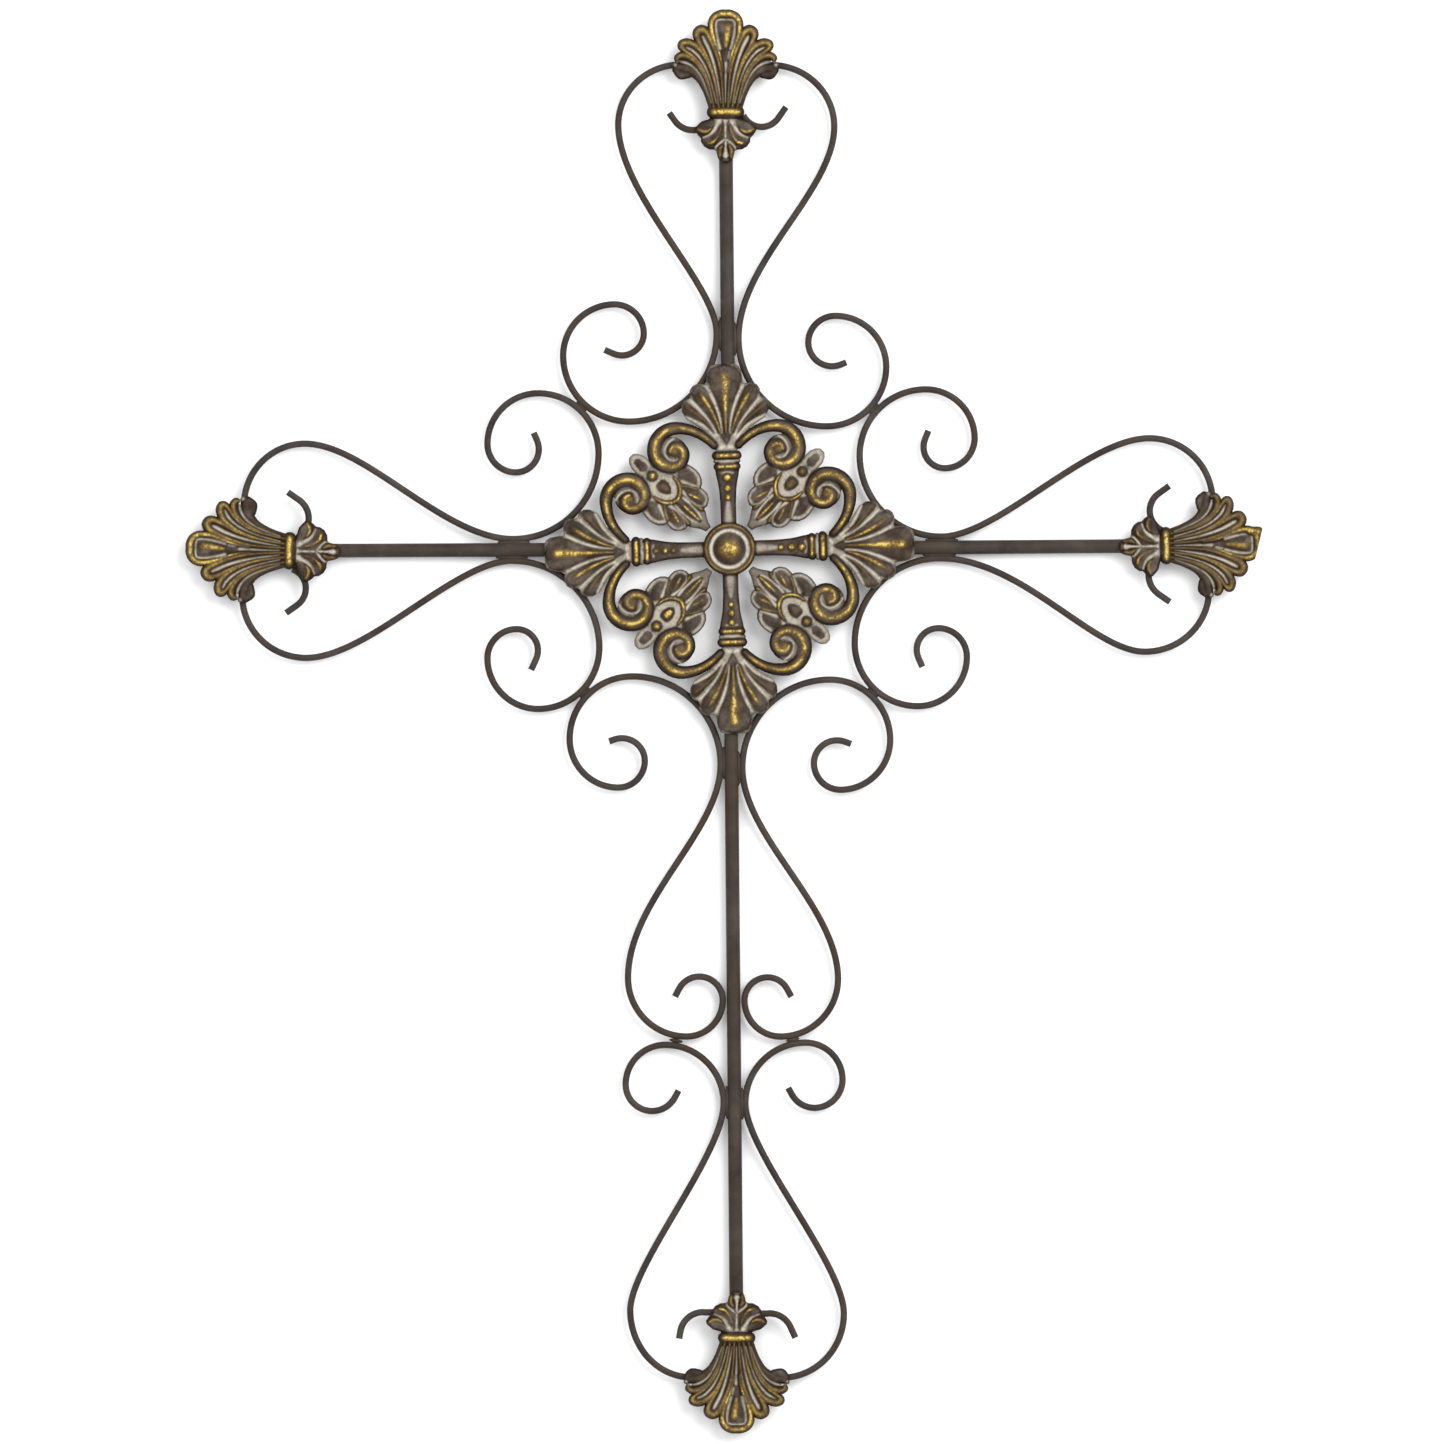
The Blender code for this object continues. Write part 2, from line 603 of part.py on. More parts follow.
def finial_mesh(name, stretch, shapes):
    """One palmette casting, drawn along +y from the middle of its collar."""
    tips = [shape["tip"] for shape in LOBES]
    corner = LOBES[0]["foot"]
    right = [(corner[0], FINIAL_PLATE_FOOT), corner, *NECK] + tips
    outline = right + [CROWN_LOBE["tip"]] + [(-x, y) for x, y in reversed(right)]
    plate_between("plate", outline, FINIAL_PLATE, shapes)
    for i, shape in enumerate(LOBES):
        for side in (-1, 1):
            lobe(f"lobe_{i}_{side}", shape, LOBE_HEIGHT, shapes, side)
    lobe("crown", CROWN_LOBE, LOBE_HEIGHT + 0.6, shapes)
    rib("collar", COLLAR["half_width"], 0.0, COLLAR["radius"], COLLAR["height"], shapes)
    for i, shape in enumerate(CALYX_LEAVES):
        for side in (-1, 1):
            lobe(f"leaf_{i}_{side}", shape, LOBE_HEIGHT, shapes, side)
    lobe("drop", DROP, LOBE_HEIGHT, shapes)
    for shape in shapes.objects:
        shape.data.transform(Matrix.Diagonal((1.0, stretch, 1.0, 1.0)))
    mesh = joined(name, shapes)
    smooth(mesh)
    pad_at = [(side * EAR_TIP[0], EAR_ROD_AT * stretch - PAD_BELOW_EAR_ROD) for side in (-1, 1)]
    depth = CASTING_BACK - ROD_RADIUS - CLEARANCE
    return with_pads(mesh, name, pad_at, EAR_PAD_RADIUS, depth)


def boss_shape(shapes):
    """The turned boss: an outer ring, a groove and a dome."""
    shape = bmesh.new()
    edge = BOSS_PROFILE[0]
    outline = [(0.0, -BELOW_BACK), (edge[0], -BELOW_BACK)] + list(BOSS_PROFILE[1:])
    vertices = [shape.verts.new((x, 0.0, z)) for x, z in outline]
    for a, b in zip(vertices, vertices[1:]):
        shape.edges.new((a, b))
    bmesh.ops.spin(
        shape,
        geom=shape.verts[:] + shape.edges[:],
        cent=(0.0, 0.0, 0.0),
        axis=(0.0, 0.0, 1.0),
        dvec=(0.0, 0.0, 0.0),
        angle=2 * math.pi,
        steps=BOSS_SEGMENTS,
        use_merge=True,
    )
    bmesh.ops.remove_doubles(shape, verts=shape.verts, dist=WELD / MM)
    bmesh.ops.recalc_face_normals(shape, faces=shape.faces)
    return new_object("boss", solid_mesh("boss", shape), shapes)


def volute_points():
    """The middle line of a volute, across and along its arm: a rise to its top, then ever smaller quarter bends."""
    start, top = VOLUTE["start"], VOLUTE["top"]
    rise = (start[0] + (top[0] - start[0]) * 0.45, top[1])
    points = [bezier_point((start, rise, top), t) for t in (0.0, 0.33, 0.66)]
    points.append(top)
    heading = math.pi / 2
    place = (top[1], top[0])
    spiral = []
    for radius in VOLUTE["radii"]:
        steps = 3 if radius > 6.0 else 2
        middle = (place[0] - radius * math.sin(heading), place[1] + radius * math.cos(heading))
        for i in range(1, steps + 1):
            angle = heading + math.pi / 2 * i / steps
            spiral.append((middle[0] + radius * math.sin(angle), middle[1] - radius * math.cos(angle)))
        place = spiral[-1]
        heading += math.pi / 2
    return points + [(across, along) for along, across in spiral]


def spread(values, count):
    """Values taken evenly along a short list, as many as count."""
    found = []
    for i in range(count):
        spot = i / (count - 1) * (len(values) - 1)
        low = min(int(spot), len(values) - 2)
        found.append(values[low] + (values[low + 1] - values[low]) * (spot - low))
    return found


def arm_shapes(turn, shapes):
    """One arm of the medallion with its rings, beads, palmette and two volutes, turned to its side."""
    made = [lobe("arm", ARM, ARM["height"], shapes)]
    for at in ARM_RINGS["at"]:
        made.append(rib("ring", ARM_RINGS["half_width"], at, ARM_RINGS["radius"], ARM_RINGS["height"], shapes))
    for at, radius in ARM_BEADS:
        made.append(ball("bead", 0.0, at, (radius, radius), ARM["height"] + radius * 0.7, shapes, 6, 4))
    made.append(lobe("palmette_crown", PALMETTE_CROWN, PALMETTE_HEIGHT, shapes))
    web = [*PALMETTE_WEB, *[(-x, y) for x, y in reversed(PALMETTE_WEB)]]
    made.append(plate_between("palmette_web", web, PALMETTE_WEB_THICKNESS, shapes))
    volute = volute_points()
    widths = spread(VOLUTE["widths"], len(volute))
    for side in (-1, 1):
        for shape in PALMETTE_LOBES:
            made.append(lobe("palmette_lobe", shape, PALMETTE_HEIGHT, shapes, side))
        points = [(side * x, y, SEAT) for x, y in volute]
        flatness = (VOLUTE["height"] - SEAT) / max(widths)
        made.append(tube("volute", points, widths, shapes, flatness))
        across, along = VOLUTE_DISC["at"]
        radius = VOLUTE_DISC["radius"]
        disc = ball("disc", side * across, along, (radius, radius), VOLUTE_DISC["height"], shapes, 10, 5)
        made.append(disc)
    for obj in made:
        obj.data.transform(Matrix.Rotation(math.radians(turn), 4, "Z"))


def leaf_shapes(turn, shapes):
    """One diagonal leaf of the medallion, turned to its side."""
    made = [lobe("leaf", LEAF_BODY, LEAF_BODY["height"], shapes)]
    for side in (-1, 1):
        for shape in LEAF_LOBES:
            made.append(lobe("leaf_lobe", shape, LEAF_HEIGHT, shapes, side))
    made.append(lobe("leaf_tab", LEAF_TAB, LEAF_HEIGHT, shapes))
    made.append(ball("eye", 0.0, LEAF_EYE["at"], LEAF_EYE["radii"], LEAF_EYE["height"], shapes))
    bead = LEAF_BEAD["radius"]
    made.append(ball("leaf_bead", 0.0, LEAF_BEAD["at"], (bead, bead), LEAF_BEAD["height"], shapes))
    for obj in made:
        obj.data.transform(Matrix.Rotation(math.radians(turn), 4, "Z"))


def medallion_mesh(shapes):
    boss_shape(shapes)
    for turn in ARM_TURN.values():
        arm_shapes(turn, shapes)
        leaf_shapes(turn + LEAF_ANGLE, shapes)
    mesh = joined("medallion", shapes)
    smooth(mesh)
    return mesh


def hanger_object(collection, cutters):
    """A thin plate behind the top end of the vertical bar, with a keyhole above the bar's end."""
    length = PLATE_BELOW_BAR_END + PLATE_ABOVE_BAR_END
    middle = BAR_END + (PLATE_ABOVE_BAR_END - PLATE_BELOW_BAR_END) / 2
    shape = bmesh.new()
    bmesh.ops.create_cube(shape, size=1.0)
    bmesh.ops.scale(shape, vec=(PLATE_WIDTH, length, PLATE_THICKNESS), verts=shape.verts)
    mesh = solid_mesh("hanger_plate", shape)
    mesh.materials.append(metal("hanger_plate", "rod"))
    obj = new_object("hanger_plate", mesh, collection)
    obj.location = (0.0, middle * MM, (PLATE_FRONT + PLATE_BACK) / 2 * MM)
    hole_at = BAR_END + KEYHOLE_ABOVE_BAR_END
    for name, radius, along in (
        ("keyhole", KEYHOLE_RADIUS, hole_at),
        ("keyhole_slot_end", KEYHOLE_SLOT_RADIUS, hole_at + KEYHOLE_SLOT_LENGTH),
    ):
        shape = bmesh.new()
        bmesh.ops.create_cone(
            shape,
            cap_ends=True,
            segments=16,
            radius1=radius,
            radius2=radius,
            depth=PLATE_THICKNESS * 3,
        )
        cutter = new_object(name, solid_mesh(name, shape), cutters)
        cutter.location = (0.0, along * MM, (PLATE_FRONT + PLATE_BACK) / 2 * MM)
        cut_out(obj, cutter)
    shape = bmesh.new()
    bmesh.ops.create_cube(shape, size=1.0)
    slot = (KEYHOLE_SLOT_RADIUS * 2, KEYHOLE_SLOT_LENGTH, PLATE_THICKNESS * 3)
    bmesh.ops.scale(shape, vec=slot, verts=shape.verts)
    cutter = new_object("keyhole_slot", solid_mesh("keyhole_slot", shape), cutters)
    along = hole_at + KEYHOLE_SLOT_LENGTH / 2
    cutter.location = (0.0, along * MM, (PLATE_FRONT + PLATE_BACK) / 2 * MM)
    cut_out(obj, cutter)
    return obj


def cut_out(obj, cutter):
    cutter.hide_render = True
    cutter.display_type = "WIRE"
    cut = obj.modifiers.new(cutter.name, "BOOLEAN")
    cut.operation = "DIFFERENCE"
    cut.solver = "EXACT"
    cut.object = cutter


def main():
    clear_scene()
    parts = new_collection("wall_cross")
    cutters = new_collection("cutters")
    shapes = new_collection("shapes")

    cross = bpy.data.objects.new("cross_frame", None)
    parts.objects.link(cross)

    bottom_end = -(COLLAR_AT["bottom"] + BAR_END_PAST_COLLAR)
    made = [bar_object("vertical_bar", (0.0, bottom_end), (0.0, BAR_END), parts)]
    for arm in ("left", "right"):
        inner = placed(arm, 1, BAR_RADIUS + CLEARANCE, 0.0)
        outer = placed(arm, 1, COLLAR_AT[arm] + BAR_END_PAST_COLLAR, 0.0)
        made.append(bar_object(f"crossbar_{arm}", inner, outer, parts))

    for name, rod in RODS.items():
        made.append(rod_object(name, rod["arm"], rod["side"], rod_points(name), 0.0, parts))
    hook_height = CASTING_BACK - CLEARANCE - ROD_RADIUS
    for name, hook in HOOKS.items():
        points = hook_points(hook)
        made.append(rod_object(name, hook["arm"], hook["side"], points, hook_height, parts))

    for arm, turn in ARM_TURN.items():
        name = f"finial_{arm}"
        mesh = finial_mesh(name, FINIAL_STRETCH[arm], shapes)
        mesh.materials.append(metal(name, "cast"))
        finial = new_object(name, mesh, parts)
        thinned(finial, FINIAL_SHARE)
        x, y = placed(arm, 1, COLLAR_AT[arm], 0.0)
        finial.location = (x * MM, y * MM, CASTING_BACK * MM)
        finial.rotation_euler = (0.0, 0.0, math.radians(turn - ARM_LEAN[arm] + FINIAL_TURN[arm]))
        made.append(finial)

    mesh = medallion_mesh(shapes)
    mesh.materials.append(metal("medallion", "cast"))
    medallion = new_object("medallion", mesh, parts)
    thinned(medallion, MEDALLION_SHARE)
    medallion.location = (0.0, 0.0, CASTING_BACK * MM)
    medallion.rotation_euler = (0.0, 0.0, math.radians(MEDALLION_TURN))
    made.append(medallion)
    made.append(hanger_object(parts, cutters))
    bpy.data.collections.remove(shapes)

    for piece in [*made, *cutters.objects]:
        piece.parent = cross
    cross.rotation_euler = (math.radians(90.0), 0.0, 0.0)
    cross.location = (0.0, PLATE_BACK * MM, -(BAR_END - ORIGIN_BELOW_BAR_END) * MM)


main()
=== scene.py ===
"""The looks of a metal wall cross: smooth rods, bars and weld beads, and castings with relief and patina.

The castings are drawn in millimetres on a height grid. Strokes with a centre line, a width and a
cross-section raise it, and grooves sink it. Where gold and a pale wash lie, and where painted shade
with some dark patina darkens flanks, hollows and edges, is kept as attributes for the material.
"""

import math

import bmesh
import bpy
import numpy as np
from mathutils import Matrix, Vector

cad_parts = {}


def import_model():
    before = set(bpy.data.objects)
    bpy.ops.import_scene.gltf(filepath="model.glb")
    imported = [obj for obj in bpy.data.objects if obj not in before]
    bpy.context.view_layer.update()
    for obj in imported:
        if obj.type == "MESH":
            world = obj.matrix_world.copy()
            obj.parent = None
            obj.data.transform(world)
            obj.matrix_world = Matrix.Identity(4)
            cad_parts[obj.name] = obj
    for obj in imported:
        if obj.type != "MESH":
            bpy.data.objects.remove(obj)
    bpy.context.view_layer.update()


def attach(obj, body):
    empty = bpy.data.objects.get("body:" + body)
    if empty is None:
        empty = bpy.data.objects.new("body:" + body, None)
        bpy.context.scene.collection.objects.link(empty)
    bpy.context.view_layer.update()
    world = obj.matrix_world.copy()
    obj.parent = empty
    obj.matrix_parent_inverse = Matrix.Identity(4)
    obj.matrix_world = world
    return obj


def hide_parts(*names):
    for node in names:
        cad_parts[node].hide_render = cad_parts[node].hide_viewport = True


MM = 0.001

# The frame of the solids: the boss's centre and the planes of the bars and of the castings' backs
BOSS = Vector((0.0, -0.0069, -0.2893))
CAST_BACK = -0.0118

# Stock, the gap between it, and how far the smooth tubes stay inside the solids
BAR_RADIUS = 4.6
ROD_RADIUS = 2.25
CLEARANCE = 0.3
WAIST_OFFSET = BAR_RADIUS + ROD_RADIUS + CLEARANCE
INSET = 0.02

# Arms: the collars' heights, leans and turns in degrees, and how much gold is left on the finials
COLLAR_AT = {"top": 288.3, "left": 290.6, "right": 288.2, "bottom": 520.7}
ARM_LEAN = {"top": 0.0, "left": 0.28, "right": 0.1, "bottom": 0.0}
LEAN_SIGN = {"left": -1.0, "right": 1.0}
FINIAL_STRETCH = {"top": 1.0, "left": 1.01, "right": 0.93, "bottom": 0.93}
FINIAL_TURN = {"top": -0.5, "left": -1.8, "right": 1.2, "bottom": -0.6}
FINIAL_GOLD = {"top": 1.0, "left": 1.0, "right": 0.8, "bottom": 0.95}
MEDALLION_TURN = 1.2
ARM_TURN = {"top": 0.0, "left": 90.0, "bottom": 180.0, "right": -90.0}
BAR_END_PAST_COLLAR = 8.0
EAR_ACROSS = 29.8

RODS = {
    "scroll_top_left": {
        "arm": "top", "side": -1, "ear": 31.7, "bulge": (-8, 70.9), "reins": (45.6, 31.9), "waist": 142.7,
        "radii": (58, 43.5, 34, 19.4, 14.4), "curl": 114, "tip": 6.4,
    },
    "scroll_top_right": {
        "arm": "top", "side": 1, "ear": 30.9, "bulge": (-9.6, 71.7), "reins": (43.1, 51.3), "waist": 138.5,
        "radii": (58.1, 39.3, 33.6, 17.7, 15.6), "curl": 111, "tip": 4.1,
    },
    "scroll_left_upper": {
        "arm": "left", "side": 1, "ear": 29.8, "bulge": (-10.4, 70.7), "reins": (40.2, 46),
        "beside": "scroll_top_left",
        "radii": (56.4, 39.8, 33.5, 18.7, 15.2), "curl": 113.7, "tip": 5.3,
    },
    "scroll_right_upper": {
        "arm": "right", "side": 1, "ear": 30.8, "bulge": (-10.9, 71.1), "reins": (40.9, 37.4),
        "beside": "scroll_top_right",
        "radii": (53.7, 43.6, 32.4, 19.8, 14), "curl": 111.6, "tip": 6.2,
    },
    "scroll_bottom_upper_left": {
        "arm": "bottom", "side": -1, "bulge_at": 283, "reins": (52.2, 44.8), "waist": 141.7,
        "radii": (58.2, 41.3, 32, 17.5, 15.1), "curl": 110, "tip": 3.4,
        "lower_radii": (38.5, 23.9, 15.6, 14.8), "lower_curl": 62, "lower_tip": 6,
    },
    "scroll_bottom_upper_right": {
        "arm": "bottom", "side": 1, "bulge_at": 284.1, "reins": (47.7, 45.1), "waist": 144.8,
        "radii": (58, 39.8, 33, 17.5, 15.2), "curl": 111, "tip": 4.3,
        "lower_radii": (38, 23.9, 15.3, 14.6), "lower_curl": 62, "lower_tip": 6,
    },
    "scroll_left_lower": {
        "arm": "left", "side": -1, "ear": 31.1, "bulge": (-10.9, 70.7), "reins": (41, 37.2),
        "beside": "scroll_bottom_upper_left",
        "radii": (57.5, 40.4, 33.5, 19.3, 14.1), "curl": 115.2, "tip": 7.7,
    },
    "scroll_right_lower": {
        "arm": "right", "side": -1, "ear": 28, "bulge": (-14.4, 69.8), "reins": (34.5, 54.6),
        "beside": "scroll_bottom_upper_right",
        "radii": (56, 41.5, 32.5, 18.9, 14.2), "curl": 113.6, "tip": 6.2,
    },
    "scroll_bottom_lower_left": {
        "arm": "bottom", "side": -1, "ear": 25.8, "bulge": (-18.5, 70.1), "reins": (30, 34),
        "below": "scroll_bottom_upper_left", "weld_gap": 2.2,
        "radii": (38.5, 26.1, 17.5, 17), "curl": 62, "tip": 5,
    },
    "scroll_bottom_lower_right": {
        "arm": "bottom", "side": 1, "ear": 26.6, "bulge": (-15.6, 70.9), "reins": (32.9, 32),
        "below": "scroll_bottom_upper_right", "weld_gap": 1.2,
        "radii": (39.8, 24.5, 18.6, 17), "curl": 62, "tip": 5,
    },
}

# Hooks: arm, side, middle of the bend (across, along), its radius, where it starts and ends in degrees, tip
HOOKS = {
    "hook_top_left": ("top", -1, (21.5, 3), 14.7, 255, 325, 6.5),
    "hook_top_right": ("top", 1, (23.8, 3.4), 13.4, 205, 325, 9),
    "hook_left_upper": ("left", 1, (21.3, 2), 15, 255, 325, 9),
    "hook_left_lower": ("left", -1, (24.8, 2.6), 13.5, 200, 325, 9),
    "hook_right_upper": ("right", 1, (23, 3.5), 14.2, 200, 325, 8.5),
    "hook_right_lower": ("right", -1, (19.2, 3.8), 15.6, 262, 325, 9),
    "hook_bottom_left": ("bottom", -1, (22.3, -2.2), 15, 262, 350, 5),
    "hook_bottom_right": ("bottom", 1, (21.8, -1), 15, 262, 336, 8),
}
# A hook whose bend starts past this angle gets a straight root into the casting
HOOK_ROOT_FROM = 240.0
HOOK_ROOT = 5.0
HOOK_STEPS = 14
HOOK_DEPTH = -(CAST_BACK - BOSS.y) / MM - CLEARANCE - ROD_RADIUS
EAR_ROD_OVERLAP = 4.0
EAR_BEND_STEPS = 26
REIN_POINTS = 60

# Half the length, width and depth of a weld bead beside a bar, and of one between two rods
BAR_WELD = (11.0, 2.0, 1.9)
ROD_WELD = (4.5, 1.3, 1.6)

ROD_STEP = 2.4
CURVE_SIDES = 5
BAR_SIDES = 48
BAR_EDGE = 0.3


def turned(point, degrees):
    angle = math.radians(degrees)
    return (
        point[0] * math.cos(angle) - point[1] * math.sin(angle),
        point[0] * math.sin(angle) + point[1] * math.cos(angle),
    )


def placed(arm, side, along, across):
    """A point given along an arm and away from its axis, as x and height from the boss."""
    square = {
        "top": (side * across, along),
        "bottom": (side * across, -along),
        "left": (-along, side * across),
        "right": (along, side * across),
    }
    return turned(square[arm], -ARM_LEAN[arm])


def world(x, y, z=0.0):
    """Millimetres from the boss, with z towards the viewer from the bars' plane, as a point of the frame."""
    return Vector((BOSS.x + x * MM, BOSS.y - z * MM, BOSS.z + y * MM))


def bezier_point(corners, t):
    points = [np.array(corner, float) for corner in corners]
    while len(points) > 1:
        points = [a + (b - a) * t for a, b in zip(points, points[1:])]
    return tuple(points[0])


def bezier_line(corners, count):
    return [bezier_point(corners, i / (count - 1)) for i in range(count)]


def arc_points(start, heading, radius, turn):
    count = max(2, math.ceil(radius * turn / ROD_STEP))
    middle = (start[0] + radius * math.sin(heading), start[1] - radius * math.cos(heading))
    points = []
    for i in range(1, count + 1):
        angle = heading - turn * i / count
        points.append((middle[0] - radius * math.sin(angle), middle[1] + radius * math.cos(angle)))
    return points, heading - turn


def scroll_points(start, heading, radii, curl, tip):
    points = [start]
    for i, radius in enumerate(radii):
        last = i == len(radii) - 1
        more, heading = arc_points(points[-1], heading, radius, math.radians(curl if last else 90.0))
        points.extend(more)
    end = points[-1]
    points.append((end[0] + tip * math.cos(heading), end[1] + tip * math.sin(heading)))
    return points


def ear_bend_points(along, across, bulge):
    """From inside the finial's ear round to the widest point."""
    points = [(along, across - EAR_ROD_OVERLAP)]
    for i in range(EAR_BEND_STEPS):
        angle = math.pi / 2 * i / EAR_BEND_STEPS
        out = along - bulge[0]
        points.append((bulge[0] + out * math.cos(angle), across + (bulge[1] - across) * math.sin(angle)))
    points.append(bulge)
    return points


def waist_of(name):
    """How far out the rod touches the bar. A rod beside or below another takes it from where they touch."""
    rod = RODS[name]
    if "waist" in rod:
        return rod["waist"]
    first, second = rod["radii"][:2]
    if "beside" in rod:
        other = RODS[rod["beside"]]
        other_first, other_second = other["radii"][:2]
        reach = second + other_second + 2 * ROD_RADIUS + CLEARANCE
        middle = (WAIST_OFFSET + other_first, other["waist"] - other_first + other_second)
        lean = ARM_LEAN[rod["arm"]] * LEAN_SIGN[rod["arm"]] * rod["side"]
        along, across = turned(middle, lean)
        apart = across - (WAIST_OFFSET + first)
        return along + math.sqrt(reach**2 - apart**2) + first - second
    other = RODS[rod["below"]]
    loop = other["lower_radii"]
    reach = loop[0] + first + 2 * ROD_RADIUS + rod["weld_gap"]
    apart = first - loop[1]
    return other["bulge_at"] + math.sqrt(reach**2 - apart**2)


def rod_points(name):
    """The whole rod, from the ear or the lower loop, over the reins to the waist, and into the scroll."""
    rod = RODS[name]
    waist = (waist_of(name), WAIST_OFFSET)
    scroll = scroll_points(waist, math.pi, rod["radii"], rod["curl"], rod["tip"])
    if "lower_radii" in rod:
        loop = rod["lower_radii"]
        bulge = (rod["bulge_at"], WAIST_OFFSET + loop[0] + loop[1])
        lower = scroll_points((0.0, 0.0), math.pi, loop, rod["lower_curl"], rod["lower_tip"])
        start = [(bulge[0] - along, bulge[1] - across) for along, across in reversed(lower)]
    else:
        collar = COLLAR_AT[rod["arm"]]
        bulge = (collar + rod["bulge"][0], rod["bulge"][1])
        start = ear_bend_points(collar + rod["ear"], EAR_ACROSS, bulge)
    reins = rod["reins"]
    corners = (bulge, (bulge[0] - reins[0], bulge[1]), (waist[0] + reins[1], waist[1]), waist)
    return start + bezier_line(corners, REIN_POINTS)[1:-1] + scroll


def hook_points(arm, middle, radius, start, end, tip):
    """A round bend with a straight tip."""
    across, along = middle
    first, last = math.radians(start), math.radians(end)
    points = []
    if start > HOOK_ROOT_FROM:
        points.append((along + radius * math.sin(first), across + radius * math.cos(first) - HOOK_ROOT))
    for i in range(HOOK_STEPS + 1):
        angle = first + (last - first) * i / HOOK_STEPS
        points.append((along + radius * math.sin(angle), across + radius * math.cos(angle)))
    u, v = points[-1]
    points.append((u + tip * math.cos(last), v - tip * math.sin(last)))
    return [(COLLAR_AT[arm] + u, v) for u, v in points]


def rod_piece(name, arm, side, points, depth, material):
    """A smooth round rod with square-cut ends, in place of the solid of the same name."""
    curve = bpy.data.curves.new(name + "_rod", "CURVE")
    curve.dimensions = "3D"
    curve.bevel_depth = (ROD_RADIUS - INSET) * MM
    curve.bevel_resolution = CURVE_SIDES
    curve.use_fill_caps = True
    spline = curve.splines.new("POLY")
    spline.points.add(len(points) - 1)
    for point, (along, across) in zip(spline.points, points):
        x, y = placed(arm, side, along, across)
        point.co = (*world(x, y, depth), 1.0)
    spline.use_smooth = True
    curve.materials.append(material)
    obj = bpy.data.objects.new(name + "_rod", curve)
    bpy.context.scene.collection.objects.link(obj)
    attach(obj, "root")
    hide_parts(name)


def bar_piece(name, start, end, material):
    """A smooth round bar with slightly eased ends, in place of the solid of the same name."""
    start, end = world(*start), world(*end)
    radius = (BAR_RADIUS - INSET) * MM
    bpy.ops.mesh.primitive_cylinder_add(vertices=BAR_SIDES, radius=radius, depth=(end - start).length)
    obj = bpy.context.object
    obj.name = name + "_bar"
    obj.location = (start + end) / 2
    obj.rotation_euler = (end - start).to_track_quat("Z", "Y").to_euler()
    bevel = obj.modifiers.new("eased_ends", "BEVEL")
    bevel.width = BAR_EDGE * MM
    bevel.segments = 2
    bevel.angle_limit = math.radians(60.0)
    obj.data.shade_smooth()
    obj.data.set_sharp_from_angle(angle=math.radians(40.0))
    obj.data.materials.append(material)
    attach(obj, "root")
    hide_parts(name)


def weld_points():
    """Where rods touch: each place, another one along its seam, and the size of the bead there."""
    found = []
    for name, rod in RODS.items():
        arm, side, first = rod["arm"], rod["side"], rod["radii"][0]
        along = waist_of(name)
        across = BAR_RADIUS + CLEARANCE / 2
        found.append((placed(arm, side, along, across), placed(arm, side, along + 1.0, across), BAR_WELD))
        if "beside" in rod:
            other = rod["beside"]
            middles = scroll_middle(name, 1), scroll_middle(other, 1)
            found.append(between(*middles, rod["radii"][1], RODS[other]["radii"][1]))
        if "below" in rod:
            other = RODS[rod["below"]]
            lower = other["lower_radii"]
            middle = placed("bottom", side, other["bulge_at"], WAIST_OFFSET + lower[1])
            found.append(between(scroll_middle(name, 0), middle, first, lower[0]))
    return found


def scroll_middle(name, turn):
    """The middle of a scroll's first or second quarter turn."""
    rod = RODS[name]
    first, second = rod["radii"][:2]
    along, across = waist_of(name), WAIST_OFFSET + first
    return placed(rod["arm"], rod["side"], along - turn * (first - second), across)


def between(a, b, radius_a, radius_b):
    """The touching place of two rings with these middles, and a place further along the seam."""
    length = math.dist(a, b)
    share = (radius_a + (length - radius_a - radius_b) / 2) / length
    x, y = a[0] + (b[0] - a[0]) * share, a[1] + (b[1] - a[1]) * share
    return (x, y), (x - (b[1] - a[1]) / length, y + (b[0] - a[0]) / length), ROD_WELD


def weld_beads(material):
    """Small uneven lumps in the seams between rods, as one piece."""
    shape = bmesh.new()
    for i, (spot, further, half) in enumerate(weld_points()):
        lump = bmesh.ops.create_icosphere(shape, subdivisions=3, radius=1.0)
        seam = math.atan2(further[1] - spot[1], further[0] - spot[0])
        stretch = Matrix.Diagonal((*(size * MM for size in half), 1.0))
        stand = Matrix.Rotation(math.radians(90.0), 4, "X") @ Matrix.Rotation(seam, 4, "Z")
        place = Matrix.Translation(world(*spot)) @ stand @ stretch
        for vertex in lump["verts"]:
            x, y, z = vertex.co
            broad = 0.08 * math.sin(5.0 * x + i) * math.cos(4.0 * z + 2.0 * i)
            fine = 0.05 * math.sin(9.0 * y + 3.0 * i)
            vertex.co = place @ (vertex.co * (1.0 + broad + fine))
    mesh = bpy.data.meshes.new("weld_beads")
    shape.to_mesh(mesh)
    shape.free()
    mesh.shade_smooth()
    mesh.materials.append(material)
    obj = bpy.data.objects.new("weld_beads", mesh)
    bpy.context.scene.collection.objects.link(obj)
    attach(obj, "root")


# The share of a grid step that the outline keeps off the grid points, and the angle that makes edges sharp
RIM_KEEP = 0.08
SHARP_ANGLE = 55.0
# Painted shade, with some dark patina: the slope it starts at, the width and depths that count as sunken, and
# the border's width
STEEP_FROM = 0.4
SUNKEN_WITHIN = 1.1
SUNKEN_FROM = 0.12
SUNKEN_RANGE = 0.5
BORDER = 1.5


def nearest(grid_x, grid_y, a, b, square):
    """The nearest place on a segment: its share of the way, and the distance. The square is of its length."""
    dx, dy = b - a
    share = np.clip(((grid_x - a[0]) * dx + (grid_y - a[1]) * dy) / square, 0.0, 1.0)
    return share, np.hypot(grid_x - a[0] - share * dx, grid_y - a[1] - share * dy)


